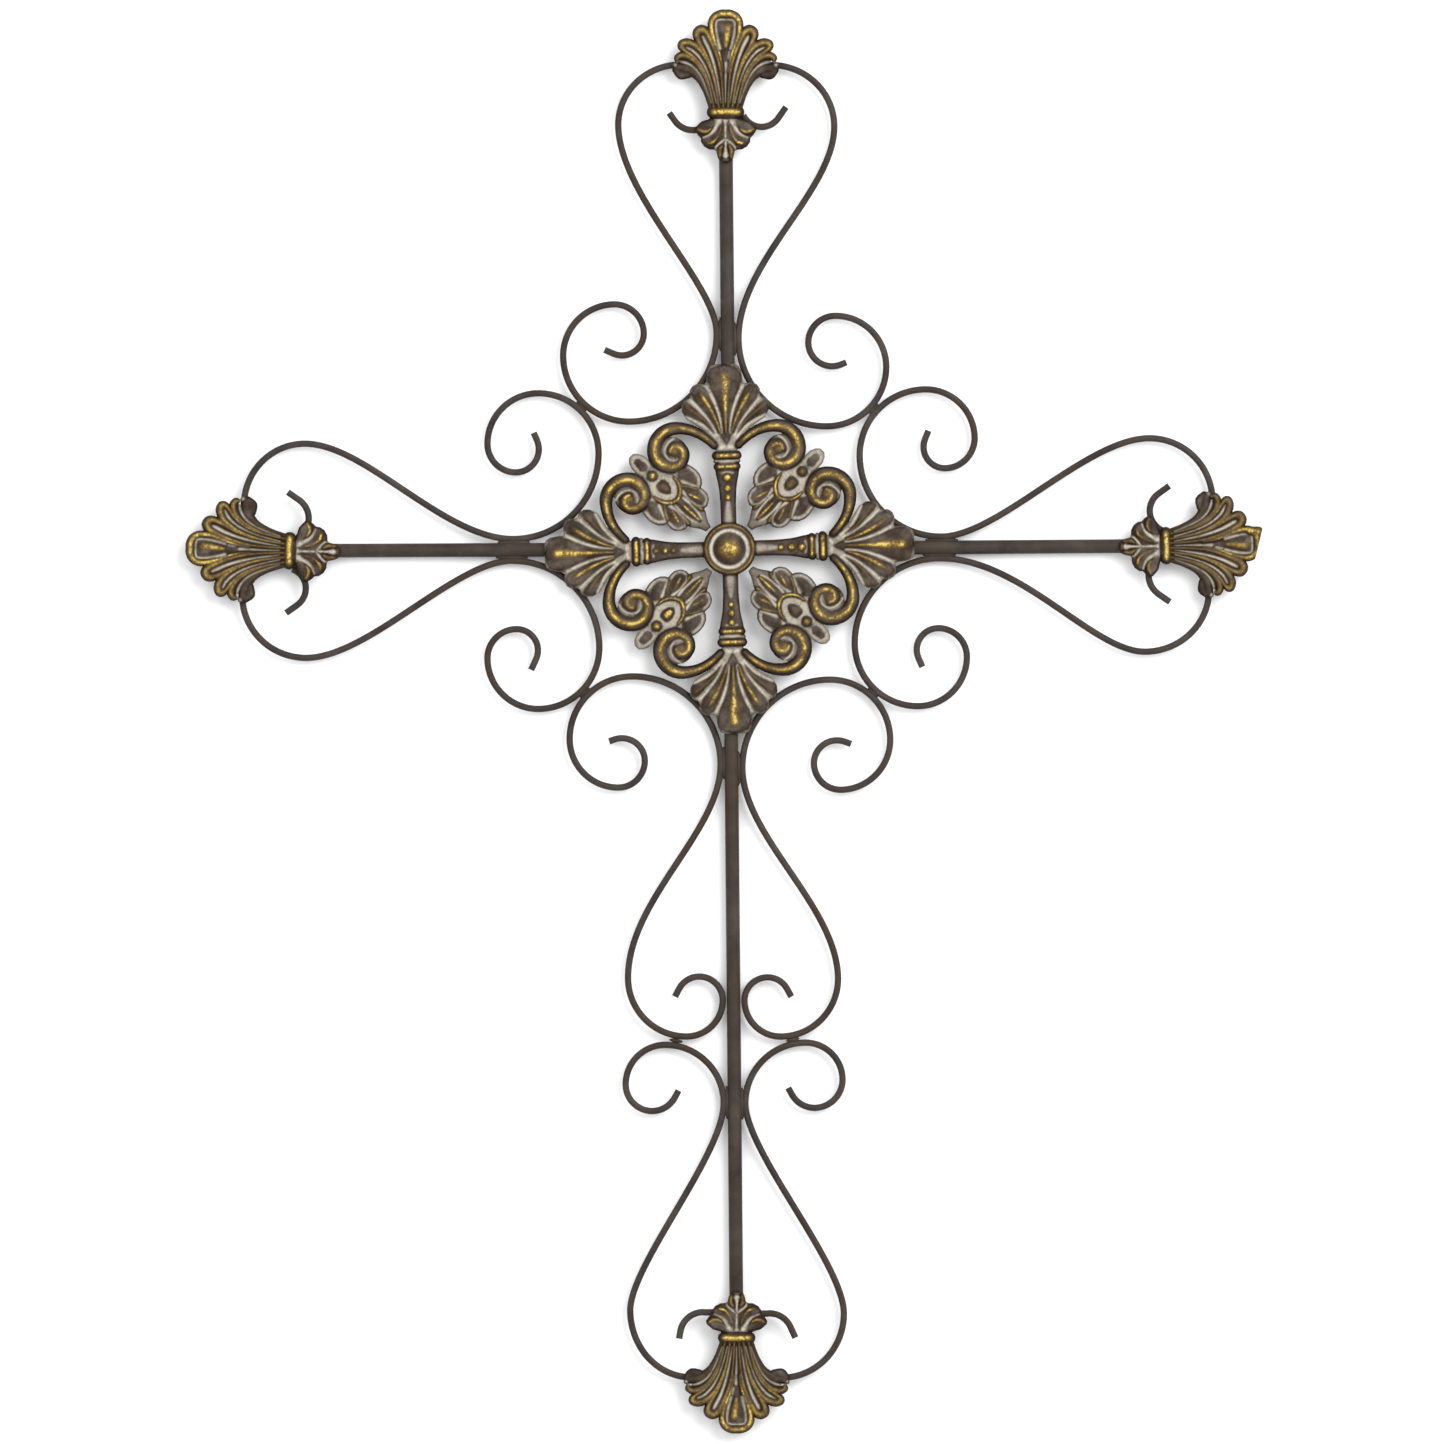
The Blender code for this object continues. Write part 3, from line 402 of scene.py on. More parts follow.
class Relief:
    """A height grid in millimetres. Height is above the flat back, and edge is how far inside the outline."""

    def __init__(self, low, high, cell):
        self.cell = cell
        self.x = np.arange(low[0], high[0] + cell, cell)
        self.y = np.arange(low[1], high[1] + cell, cell)
        shape = (len(self.y), len(self.x))
        self.edge = np.full(shape, -20.0)
        self.height = np.zeros(shape)
        self.gold = np.zeros(shape)
        self.pale = np.zeros(shape)
        # Painted shade, with some dark patina, on flanks, in hollows and at edges
        self.shade_and_patina = np.zeros(shape)

    def window(self, points, reach):
        """The part of the grid around some points."""
        low = points.min(axis=0) - reach
        high = points.max(axis=0) + reach
        i0, i1 = np.searchsorted(self.x, (low[0], high[0]))
        j0, j1 = np.searchsorted(self.y, (low[1], high[1]))
        spot = (slice(max(j0 - 1, 0), j1 + 1), slice(max(i0 - 1, 0), i1 + 1))
        grid_x, grid_y = np.meshgrid(self.x[spot[1]], self.y[spot[0]])
        return spot, grid_x, grid_y

    def near(self, line, radii, reach=1.5):
        """For grid points near a line: their distance over its radius, how far along, and how far inside."""
        line = np.array(line, float)
        spot, grid_x, grid_y = self.window(line, max(radii) + reach)
        best = np.full(grid_x.shape, -99.0)
        rho = np.full(grid_x.shape, 9.0)
        along = np.zeros(grid_x.shape)
        lengths = np.hypot(*(line[1:] - line[:-1]).T)
        total = lengths.sum()
        done = 0.0
        for a, b, ra, rb, length in zip(line, line[1:], radii, radii[1:], lengths):
            share, distance = nearest(grid_x, grid_y, a, b, max(length, 1e-6) ** 2)
            radius = ra + (rb - ra) * share
            inside = radius - distance
            better = inside > best
            best = np.where(better, inside, best)
            rho = np.where(better, distance / radius, rho)
            along = np.where(better, (done + share * length) / total, along)
            done += length
        return spot, rho, along, best

    def paint(self, spot, higher, gold, pale):
        """Sets gold and wash where a stroke has come out on top."""
        for mask, value in ((self.gold, gold), (self.pale, pale)):
            mask[spot] = np.where(higher, value, mask[spot])

    def crest(self, line, radii, base, rise, gold=0.0, pale=0.0, width=0.45, ends=(0.0, 0.0)):
        """Raises a rounded crest with gold on its top. The ends are the shares over which the gold fades."""
        line, radii = smoothed(line, radii)
        spot, rho, along, inside = self.near(line, radii)
        self.edge[spot] = np.maximum(self.edge[spot], inside)
        shape = base + rise * np.sqrt(1.0 - np.clip(rho, 0.0, 1.0) ** 2)
        higher = (inside > 0.0) & (shape > self.height[spot])
        self.height[spot] = np.where(higher, shape, self.height[spot])
        fade = 1.0
        for end, way in zip(ends, (along, 1.0 - along)):
            if end:
                fade = fade * np.clip(way / end, 0.0, 1.0)
        self.paint(spot, higher, gold * np.exp(-((rho / width) ** 2)) * fade, pale * np.exp(-1.2 * rho**4))

    def groove(self, line, radii, depth, pale=0.0):
        """Sinks a soft groove with a wash in it, without changing the outline."""
        line, radii = smoothed(line, radii)
        spot, rho, _, _ = self.near(line, radii, reach=3.0)
        soft = np.exp(-1.2 * rho**4)
        self.height[spot] -= depth * np.exp(-1.4 * rho**2)
        self.gold[spot] *= 1.0 - np.clip(1.3 * soft, 0.0, 1.0)
        self.pale[spot] = np.maximum(self.pale[spot], pale * soft)

    def pillow(self, outline, base, rise=0.0, ease=1.5, gold=0.0, pale=0.0):
        """Fills an outline, flat or swelling from its edge over the length ease."""
        outline = np.array(outline, float)
        spot, grid_x, grid_y = self.window(outline, 2.0)
        within = np.zeros(grid_x.shape, bool)
        distance = np.full(grid_x.shape, 99.0)
        for a, b in zip(outline, np.roll(outline, -1, axis=0)):
            dx, dy = b - a
            away = nearest(grid_x, grid_y, a, b, max(dx * dx + dy * dy, 1e-9))[1]
            distance = np.minimum(distance, away)
            if a[1] != b[1]:
                between = (grid_y < a[1]) != (grid_y < b[1])
                at = a[0] + (grid_y - a[1]) / (b[1] - a[1]) * dx
                within ^= between & (grid_x < at)
        inside = np.where(within, distance, -distance)
        self.edge[spot] = np.maximum(self.edge[spot], inside)
        shape = base + rise * (1.0 - np.exp(-np.maximum(inside, 0.0) / ease))
        higher = within & (shape > self.height[spot])
        self.height[spot] = np.where(higher, shape, self.height[spot])
        self.paint(spot, higher, gold, pale)

    def finish(self, rim, ease, soften):
        """Softens the relief, rounds it off towards the outline, and paints shade, with some dark patina, on
        its steep and sunken parts and at its outline.
        """
        inside = self.edge > 0.0
        soften = soften / self.cell
        self.height = blurred(np.where(inside, self.height, 0.0), soften, inside)
        self.gold = blurred(self.gold, soften * 0.8, inside)
        self.pale = blurred(self.pale, soften * 0.8, inside)
        share = np.clip(self.edge / ease, 0.0, 1.0)
        rounding = np.sqrt(1.0 - (1.0 - share) ** 2)
        self.height = np.maximum(rim + (self.height - rim) * rounding, rim)
        rise_y, rise_x = np.gradient(self.height, self.cell)
        steep = np.clip(np.hypot(rise_x, rise_y) - STEEP_FROM, 0.0, 1.0)
        around = blurred(self.height, SUNKEN_WITHIN / self.cell, inside)
        sunken = np.clip((around - self.height - SUNKEN_FROM) / SUNKEN_RANGE, 0.0, 1.0)
        border = np.exp(-((self.edge / BORDER) ** 2))
        bare = 1.0 - np.clip(self.pale, 0.0, 1.0)
        # Painted shade on steep flanks, in sunken parts and along the outline, partly standing for dark
        # patina
        shade = steep * (0.3 + 0.7 * bare) + sunken * bare + border * (0.4 + 0.4 * bare)
        self.shade_and_patina = blurred(np.clip(shade, 0.0, 1.0), 0.35 / self.cell, inside)


def spread(values, count):
    """Values taken evenly along a short list, as many as count."""
    return np.interp(np.linspace(0.0, 1.0, count), np.linspace(0.0, 1.0, len(values)), values)


def smoothed(line, radii):
    """A line led smoothly through its points, with the radii given at the points or spread along them."""
    points = np.array(line, float)
    if isinstance(radii, (int, float)):
        radii = [radii] * len(points)
    radii = spread(radii, len(points))
    if len(points) < 3 or len(points) > 24:
        return points, radii
    padded = np.concatenate([2 * points[:1] - points[1:2], points, 2 * points[-1:] - points[-2:-1]])
    found = []
    widths = []
    for i in range(len(points) - 1):
        p0, p1, p2, p3 = padded[i : i + 4]
        for t in (0.0, 0.25, 0.5, 0.75):
            bend = 2 * p1 + (p2 - p0) * t + (2 * p0 - 5 * p1 + 4 * p2 - p3) * t**2
            found.append((bend + (3 * p1 - p0 - 3 * p2 + p3) * t**3) / 2)
            widths.append(radii[i] + (radii[i + 1] - radii[i]) * t)
    found.append(points[-1])
    widths.append(radii[-1])
    return np.array(found), np.array(widths)


def blurred(values, sigma, inside=None):
    """A Gaussian blur, counting only the points inside."""
    reach = max(1, math.ceil(2.5 * sigma))
    kernel = np.exp(-0.5 * (np.arange(-reach, reach + 1) / sigma) ** 2)
    kernel /= kernel.sum()
    weight = np.ones_like(values) if inside is None else inside.astype(float)

    def smear(field):
        for axis in (0, 1):
            total = np.zeros_like(field)
            for step, share in zip(range(-reach, reach + 1), kernel):
                total += share * np.roll(field, step, axis=axis)
            field = total
        return field

    return smear(values * weight) / np.maximum(smear(weight), 1e-6)


def relief_piece(name, relief, place, material):
    """A closed mesh of a relief: its front, a wall round every edge and a flat back."""
    inside = relief.edge > 0.0
    inside[[0, -1], :] = False
    inside[:, [0, -1]] = False
    rows, columns = inside.shape
    fields = (relief.height, relief.gold, relief.pale, relief.shade_and_patina)
    grid_x, grid_y = np.meshgrid(relief.x, relief.y)
    number = np.full(inside.shape, -1)
    number[inside] = np.arange(inside.sum())
    parts = [np.stack([grid_x[inside], grid_y[inside], *[f[inside] for f in fields]], axis=1)]
    count = int(inside.sum())
    crossing = []
    for dj, di in ((0, 1), (1, 0)):
        first = inside[: rows - dj, : columns - di]
        second = inside[dj:, di:]
        cut = first != second
        edge_a = relief.edge[: rows - dj, : columns - di][cut]
        edge_b = relief.edge[dj:, di:][cut]
        share = np.clip(edge_a / (edge_a - edge_b), RIM_KEEP, 1.0 - RIM_KEEP)
        stack = []
        for field in (grid_x, grid_y):
            a, b = field[: rows - dj, : columns - di][cut], field[dj:, di:][cut]
            stack.append(a + (b - a) * share)
        for field in fields:
            a, b = field[: rows - dj, : columns - di][cut], field[dj:, di:][cut]
            stack.append(np.where(first[cut], a, b))
        numbers = np.full(cut.shape, -1)
        numbers[cut] = count + np.arange(cut.sum())
        count += int(cut.sum())
        crossing.append(numbers)
        parts.append(np.stack(stack, axis=1))
    front = np.concatenate(parts)
    rim_start = int(inside.sum())
    rim = front[rim_start:].copy()
    rim[:, 2] = 0.0
    rim[:, 3:] = 0.0
    low, high = slice(None, -1), slice(1, None)
    corners = [(number[at], inside[at]) for at in ((low, low), (low, high), (high, high), (high, low))]
    across, up = crossing
    sides = (across[:-1, :], up[:, 1:], across[1:, :], up[:, :-1])
    faces = []
    walls = []
    for case in range(1, 16):
        picked = np.ones((rows - 1, columns - 1), bool)
        for bit, (_, within) in enumerate(corners):
            picked &= within == bool(case >> bit & 1)
        if not picked.any():
            continue
        loop = []
        kinds = []
        for bit in range(4):
            here, after = case >> bit & 1, case >> (bit + 1) % 4 & 1
            if here:
                loop.append(corners[bit][0][picked])
                kinds.append("node")
            if here != after:
                loop.append(sides[bit][picked])
                kinds.append("leave" if here else "enter")
        faces.append(np.stack(loop, axis=1))
        for k, kind in enumerate(kinds):
            if kind == "leave":
                walls.append(np.stack([loop[k], loop[(k + 1) % len(loop)]], axis=1))
    walls = np.concatenate(walls)
    lift = len(front) - rim_start
    faces.append(np.stack([walls[:, 1], walls[:, 0], walls[:, 0] + lift, walls[:, 1] + lift], axis=1))
    points = np.concatenate([front, rim])

    mesh = bpy.data.meshes.new(name)
    mesh.from_pydata((points[:, :3] * MM).tolist(), [], [face for block in faces for face in block.tolist()])
    # The third mask holds painted shade with some dark patina
    for title, column in (("gold", 3), ("pale", 4), ("shade_and_patina", 5)):
        layer = mesh.attributes.new(title, "FLOAT", "POINT")
        layer.data.foreach_set("value", points[:, column])
    shape = bmesh.new()
    shape.from_mesh(mesh)
    open_edges = [edge for edge in shape.edges if edge.is_boundary]
    filled = bmesh.ops.triangle_fill(shape, use_beauty=True, edges=open_edges, normal=(0.0, 0.0, -1.0))
    for face in filled["geom"]:
        if not isinstance(face, bmesh.types.BMFace):
            continue
        face.normal_update()
        if face.normal.z > 0.0:
            face.normal_flip()
    shape.to_mesh(mesh)
    shape.free()
    mesh.shade_smooth()
    mesh.set_sharp_from_angle(angle=math.radians(SHARP_ANGLE))
    mesh.materials.append(material)
    obj = bpy.data.objects.new(name, mesh)
    obj.matrix_world = place
    bpy.context.scene.collection.objects.link(obj)
    return obj


def led(points, side=1.0, turn=0.0):
    """Points on the right or left side of a shape, turned with it."""
    return [turned((side * x, y), turn) for x, y in points]


def mirrored(points):
    """A closed outline from its right half, given from bottom to top."""
    return list(points) + [(-x, y) for x, y in reversed(points)]


def draw(relief, strokes, side=1.0, turn=0.0, worn=1.0):
    """Strokes in their order: a groove is line, radii, depth and wash, and a crest is what crest() takes."""
    for line, radii, *values in strokes:
        line = led(line, side, turn)
        if len(values) == 2:
            relief.groove(line, radii, *values)
        else:
            base, rise, gold, *more = values
            relief.crest(line, radii, base, rise, gold * worn, *more)


# The finials' right half: across and along, from the middle of the collar
FINIAL_BODY = (
    (8.6, -4), (10.4, 1), (11.4, 6), (13.3, 11), (16.2, 17), (20.4, 21.6), (27, 26), (30, 34),
    (27, 42), (16, 51), (6, 58),
)
# Rims and ears: a line and the radii along it
CROWN_RIM = (
    ((1.6, 26), (2.7, 33), (4.6, 40), (7.3, 47), (9, 53), (9.2, 58.5), (7, 62.6), (3.2, 64.5), (0, 64.6)),
    (0.9, 1.2, 1.6, 2, 2.3, 2.6, 2.9, 3, 3),
)
LOBE_RIMS = (
    (
        ((1.6, 3), (2, 14), (3, 25), (4.9, 34), (8, 43), (11, 49.6), (13, 52.8), (15.8, 54.2),
         (18.4, 52.8), (18.9, 49.8), (17, 45.2), (13.2, 38.2), (9.4, 29.5), (6.4, 18), (4.3, 3)),
        (1, 1.1, 1.3, 1.7, 2.2, 2.8, 3.2, 3.4, 3.2, 2.7, 2.1, 1.7, 1.4, 1.1, 1),
    ),
    (
        ((4.6, 3), (6.9, 18), (10.2, 29), (14.2, 37), (18.4, 42.2), (22, 44.8), (25.6, 45.7), (28.6, 44.8),
         (29, 42.6), (26.2, 40), (20.6, 35.8), (15.2, 28.9), (11, 18.5), (7.6, 3)),
        (1, 1.2, 1.5, 1.9, 2.4, 2.8, 3, 2.9, 2.4, 1.9, 1.6, 1.4, 1.2, 1),
    ),
    (
        (
            (7.8, 3), (11.4, 17), (15.8, 26.8), (20.2, 33),
            (24.6, 36.4), (28.8, 37.2), (31.6, 35.8), (32, 34.2),
        ),
        (1, 1.2, 1.5, 1.9, 2.4, 2.8, 2.4, 1.6),
    ),
)
EAR = (
    ((10.2, 3), (12.8, 12), (16.6, 20.5), (21.4, 26.2), (26.4, 28.6), (31.4, 29.4)),
    (1.1, 1.5, 2.1, 2.7, 3.2, 3),
)
EAR_LIP = (((24.6, 24.6), (29.4, 24.6), (32.6, 27.8)), (2.4, 3.2, 2.6))
FINIAL_GROOVES = (
    (
        ((14.9, 49.8), (13.8, 47.6), (11.3, 42.6), (9.2, 36.8), (7.2, 29.5), (5, 19), (2.9, 6)),
        (1, 1.35, 1.2, 1.1, 0.9, 0.7, 0.55), 1.1, 1,
    ),
    (
        ((25.4, 42.4), (21.2, 40.2), (17, 35.8), (13.2, 29.4), (9.6, 20), (5.9, 6)),
        (0.9, 1.1, 1, 0.9, 0.7, 0.55), 1.1, 1,
    ),
    (
        ((32, 33.2), (27.4, 32.7), (22.2, 30.4), (17.8, 26), (14, 18.8), (9.4, 6)),
        (0.8, 0.9, 0.9, 0.85, 0.7, 0.55), 1.1, 1,
    ),
    (
        ((3.8, 41.6), (4.9, 46), (6, 52), (6.4, 57.4), (5.7, 60.2), (3.2, 61), (0, 61)),
        (1.15, 1.1, 0.95, 0.85, 0.8, 0.75, 0.75), 0.9, 1,
    ),
    (((33.2, 30.8), (33.3, 30.9)), 1.7, 3, 0.9, 0, 0.75),
)
CROWN_DROP = ((0.6, 37), (2.4, 41), (3.7, 46), (4.8, 52), (5, 57), (3.8, 59.4), (0, 59.6))
CROWN_STROKES = (
    (((0.2, 43), (0.9, 50), (1.3, 56)), (1.6, 2.8, 3.2), 3, 1.5, 0.95, 0, 0.8),
    (((0.5, 32), (0.4, 28), (0.2, 22), (0, 6)), (1.3, 1, 0.5, 0.4), 0.9, 0.9),
    (((2.9, 39.5), (2.4, 36.5), (2, 34.6)), (0.9, 0.9, 0.5), 0.6, 0.9),
)
# The gold on the flutes is a share of that at the lobes' tips, and grows from a height above the collar
FLUTE_GOLD = 0.8
FLUTE_GOLD_FROM = 16.0
FLUTE_GOLD_LENGTH = 55.0
# The gold on the lobes from the lowest up, and the grid's cells
LOBE_GOLD = (0.75, 0.9, 0.85)
FINIAL_CELL = 0.42
# The flat that cuts the right finial's crown lobe off at a slant, above a height
DENT = ((-9, 68.4), (11.5, 62.4))
DENT_ABOVE = 56.0

CALYX_EDGE = (
    (2, -33.6), (4.4, -31.8), (5.5, -28.8), (5.4, -26.4), (7.4, -24.9), (10.8, -24.7), (14.2, -22.8),
    (16.2, -19.8), (16.4, -17.2), (18.4, -15.2), (20.3, -12.2), (19.8, -9.8), (15, -7.4), (10, -4),
)
CALYX_STROKES = (
    (((4, -5.8), (9, -7.6), (14, -9.2), (17.4, -11)), (2, 3.2, 3.4, 2.4), 2.3, 1.7, 0),
    (
        ((9.6, -11.4), (12.6, -13), (15.6, -12.8), (18.2, -11.4)),
        (0.8, 1.5, 1.5, 0.9), 3, 1.3, 1, 0, 0.75,
    ),
    (((6.6, -12), (10, -16.4), (13.6, -18.8)), (1.6, 2.6, 2.4), 2.4, 1.5, 0),
    (((2.4, -8), (4.6, -13.6), (8.2, -17.8), (11.4, -19.6)), (1.8, 2.8, 3.4, 3.2), 2.3, 1.8, 0),
    (
        ((2.4, -9), (3.8, -15), (7, -19.4), (11, -20.8)),
        (0.9, 1.4, 1.7, 1.3), 3.2, 1.5, 1.2, 0, 0.7, (0.15, 0),
    ),
    (((4.4, -6.2), (6.6, -10.6), (10, -14.8), (14.8, -17.2)), (1.9, 1.3, 0.9, 0.6), 1.2, 1),
    (((0.6, -18.2), (3.2, -20.2), (6.2, -23.2), (6.4, -25.2)), (0.6, 0.7, 0.7, 0.5), 0.8, 0.95),
    (((2.6, -22.8), (4, -25.6), (3.6, -29.6)), (1.5, 2, 1.6), 2.6, 1.7, 0.7, 0, 0.5),
    (((1.2, -22), (1.5, -26), (2.6, -30.4)), 0.5, 0.9, 0),
    (((2, -6.4), (2.4, -12), (4.4, -17.4), (7.4, -21.6)), (0.5, 0.6, 0.7, 0.6), 0.9, 0),
    (((8, -10.2), (11.4, -14.8), (15.8, -15.6), (19, -13.2)), (0.5, 0.7, 0.7, 0.5), 0.9, 0),
)
COLLAR_STROKES = (
    (((0, -5), (0, -8), (0, -16.5)), (2, 0.8, 0.6), 1, 0.95),
    (((0, -19), (0, -24.4), (0, -28.8)), (0.8, 1.1, 2.1), 3.4, 1.1, 0, 0.95),
    (((-1.4, -31.8), (1.2, -31.8)), 1, 2.6, 1, 0.5),
)
COLLAR_BAR = (
    (((-7, -4.9), (7, -4.9)), 0.7, 0.5, 0.8),
    (((-8, -0.2), (8, -0.2)), 4.4, 2.4, 2.6, 0),
    (((-8, 0), (8, 0)), 2.7, 3.9, 2.3, 1.35, 0, 0.75),
)


def finial_relief(arm):
    """A palmette casting: a crown lobe, three lobes and a rolled ear on each side, and its foot."""
    worn = FINIAL_GOLD[arm]
    relief = Relief((-38.0, -36.0), (38.0, 71.0), FINIAL_CELL)
    relief.pillow(mirrored(FINIAL_BODY), 2.0, 0.9, 3.0)
    relief.crest(((0.0, 2.0), (0.0, 14.0), (0.0, 30.0)), (9.6, 11.5, 14.0), 2.0, 1.3)
    for line, _ in (CROWN_RIM, *LOBE_RIMS):
        relief.pillow(mirrored(line), 2.3, 0.9, 2.0)
    for side in (-1.0, 1.0):
        relief.crest(led(EAR_LIP[0], side), EAR_LIP[1], 1.6, 1.6)
        relief.crest(led(EAR[0], side), EAR[1], 2.2, 1.9, 0.25 * worn, ends=(0.0, 0.5))
        for (line, widths), gold in zip(reversed(LOBE_RIMS), LOBE_GOLD):
            relief.crest(led(line, side), widths, 2.5, 2.3, gold * worn, width=0.5)
        line, widths = CROWN_RIM
        relief.crest(led(line, side), widths, 2.5, 2.6, 1.2 * worn, width=0.55, ends=(0.25, 0.0))
    flute_gold = FLUTE_GOLD + (relief.y - FLUTE_GOLD_FROM) / FLUTE_GOLD_LENGTH
    relief.gold *= np.clip(flute_gold, FLUTE_GOLD, 1.0)[:, None]
    for side in (-1.0, 1.0):
        draw(relief, FINIAL_GROOVES, side)
    relief.pillow(mirrored(CROWN_DROP), 2.4, 1.9, 1.6)
    draw(relief, CROWN_STROKES, worn=worn)
    if arm == "right":
        dented_crown(relief)
    finial_foot(relief, worn)
    relief.finish(1.2, 1.5, 0.32)
    relief.y = relief.y * FINIAL_STRETCH[arm]
    return relief


def dented_crown(relief):
    """One crown lobe is knocked flat at a slant, which leaves a sharp corner."""
    relief.crest(((-8.4, 59.0), (-7.4, 65.6)), (2.8, 3.6), 2.8, 2.4, 1.1, width=0.6)
    grid_x, grid_y = np.meshgrid(relief.x, relief.y)
    a, b = np.array(DENT)
    across = (b - a) / np.hypot(*(b - a))
    below = (grid_x - a[0]) * across[1] - (grid_y - a[1]) * across[0]
    relief.edge = np.where(grid_y > DENT_ABOVE, np.minimum(relief.edge, below), relief.edge)


def finial_foot(relief, worn):
    """The calyx of four leaves with two curls, the drop below it and the collar with its gold bar."""
    relief.pillow(mirrored(CALYX_EDGE), 1.8, 1.4, 2.4)
    for side in (-1.0, 1.0):
        draw(relief, CALYX_STROKES, side, worn=worn)
    draw(relief, COLLAR_STROKES, worn=worn)
    draw(relief, COLLAR_BAR)


# The medallion's right half of one arm: across and along, from the middle of the boss
BEADS = {
    "top": ((47, 2.3), (40.2, 2.1), (33.8, 1.8)),
    "left": ((48.8, 1.7), (42.2, 1.9), (36.8, 1.3)),
    "bottom": ((48.6, 2), (42.5, 2.1), (36.8, 1.5)),
    "right": ((47.8, 2.4), (40.8, 2.2), (34, 1.7)),
}
PALMETTE_FLANGE = (
    (7, 64), (8, 70), (16, 80), (26, 86.2), (28.6, 91), (28.9, 95.4), (26.9, 98.7), (23.6, 99.8),
    (22.8, 102), (23.2, 105), (21.4, 108), (18.2, 109.4), (14.2, 109.2), (12.1, 108.8), (11.8, 113),
    (11, 118), (9.2, 121), (6.4, 122),
)
CROWN_FIELD = (
    (1.6, 76), (2.6, 84), (4.3, 92), (6.9, 100), (9.6, 105.6), (11, 110), (10.9, 115.6), (9.2, 119.4),
    (5.6, 120.9),
)
INNER_FIELD = (
    (2.8, 76), (4, 84), (5.6, 90.6), (8.4, 97.4), (11.2, 103.2), (13.2, 107.2), (17.4, 108.8), (21.2, 107),
    (22.4, 103.4), (21, 99), (16.8, 93.2), (11.7, 86.6), (7.8, 80.2), (5.4, 76),
)
OUTER_FIELD = (
    (6.6, 76.2), (9.4, 80.8), (13.4, 85.8), (18.2, 91.2), (22.4, 96), (26, 98.2), (28.2, 95.4), (28.2, 91),
    (25.6, 87.8), (20.4, 85.8), (15.6, 83.3), (11, 79.6), (8.2, 76),
)
PALMETTE_GROOVES = (
    (
        ((12.4, 108), (9.4, 103), (6.8, 96.8), (4.6, 90), (3.4, 84), (2.7, 77)),
        (0.7, 0.9, 1, 1, 0.9, 0.8), 0.6, 1,
    ),
    (((23.4, 99.4), (18.6, 94.8), (12.8, 87.4), (8.9, 81.4), (5.8, 75)), (0.7, 0.9, 1, 0.9, 0.9), 0.6, 1),
    (((26.4, 88.2), (20.6, 85.3), (15.4, 82.4), (11, 78.6), (7.4, 73.6)), (0.7, 0.9, 0.9, 0.9, 1.2), 0.6, 1),
    (((3.6, 67), (1.6, 67.6)), (1.8, 1.4), 0.6, 1),
)
CROWN_CRESTS = (
    (((0, 77), (0, 84), (0, 92)), (0.8, 1.2, 1.6), 3.2, 1.1, 0.8, 0, 0.7),
    (
        ((0, 91), (0, 100), (0, 108), (0, 117.5)),
        (1.8, 3.4, 4.8, 4.6), 3, 1.7, 1.2, 0, 0.55, (0, 0.12),
    ),
)
INNER_CREST = (
    (
        ((3.9, 77.4), (6, 84), (9.3, 91.4), (13.2, 98.2), (17, 104)),
        (0.8, 1.2, 1.7, 2, 1.5), 3, 1.6, 1.05, 0, 0.65, (0, 0.15),
    ),
)
OUTER_CREST = (
    (
        ((7.6, 77.6), (11.4, 82.4), (16.2, 87.2), (21.2, 91.2), (25.4, 93.8)),
        (0.7, 1, 1.4, 1.6, 1.2), 2.9, 1.2, 0.45, 0, 0.6,
    ),
)
PALMETTE_FOOT = ((0.4, 68.8), (2.4, 72), (4.6, 76.8))
STEM_STROKES = (
    (((0, 12), (0, 30), (0, 40), (0, 46), (0, 52)), (5.1, 5.2, 5.8, 6.7, 8), 2.2, 1.2, 0),
    (((0, 17), (0, 24), (0, 31)), (2.6, 2.2, 1.2), 0.1, 0.55),
    (((-3.6, 50.2), (0, 50.8), (3.6, 50.2)), 0.7, 0.3, 0.6),
)
# Rings of the collar: how far out, half the length, radius, base, gold and wash
COLLAR_ROLLS = (
    (61.6, 6.9, 3, 3, 1.35, 0),
    (58, 7.6, 1.4, 2.9, 0, 0.75),
    (54.4, 6.4, 2.6, 2.9, 1.35, 0),
)

# A volute: arc radii in to its ball, widths along its line, the ball's place, and the groove between turns
VOLUTE_START = ((8, 68.5), (19.2, 80.6), (33, 80.6))
VOLUTE_RADII = (14.6, 10.9, 8.2, 5.2, 3.4)
VOLUTE_WIDTHS = (2.8, 3.5, 4.4, 4.9, 5, 4.7, 4.3, 4.1, 3.9, 3.4, 2.8)
VOLUTE_STEPS = 8
VOLUTE_FIELD = ((((36, 64.2), (36.01, 64.2)), 10.6, 2.2, 0.3, 0, 0.4),)
VOLUTE_BALL = (
    (((34.4, 65.4), (34.41, 65.4)), 3.8, 2.8, 1.8, 0.6, 0, 0.7),
    (
        ((34.4, 73.8), (37.6, 71.8), (40.2, 67.8), (40.4, 63.6), (38.2, 60.2), (34.6, 59.2), (32.4, 60.2)),
        (0.9, 1, 1, 1, 1, 0.8, 0.5), 1.6, 1,
    ),
)

# The boss: its radius, and its height at some distances from its middle
BOSS_RADIUS = 17.5
BOSS_STEPS = (0, 4, 8, 10.2, 11.2, 12.2, 13.2, 14.2, 15.6, 16.6, 17.5)
BOSS_HEIGHTS = (9, 8.5, 7, 5.4, 4.5, 4.3, 4.5, 5.5, 6.2, 5.6, 3.8)

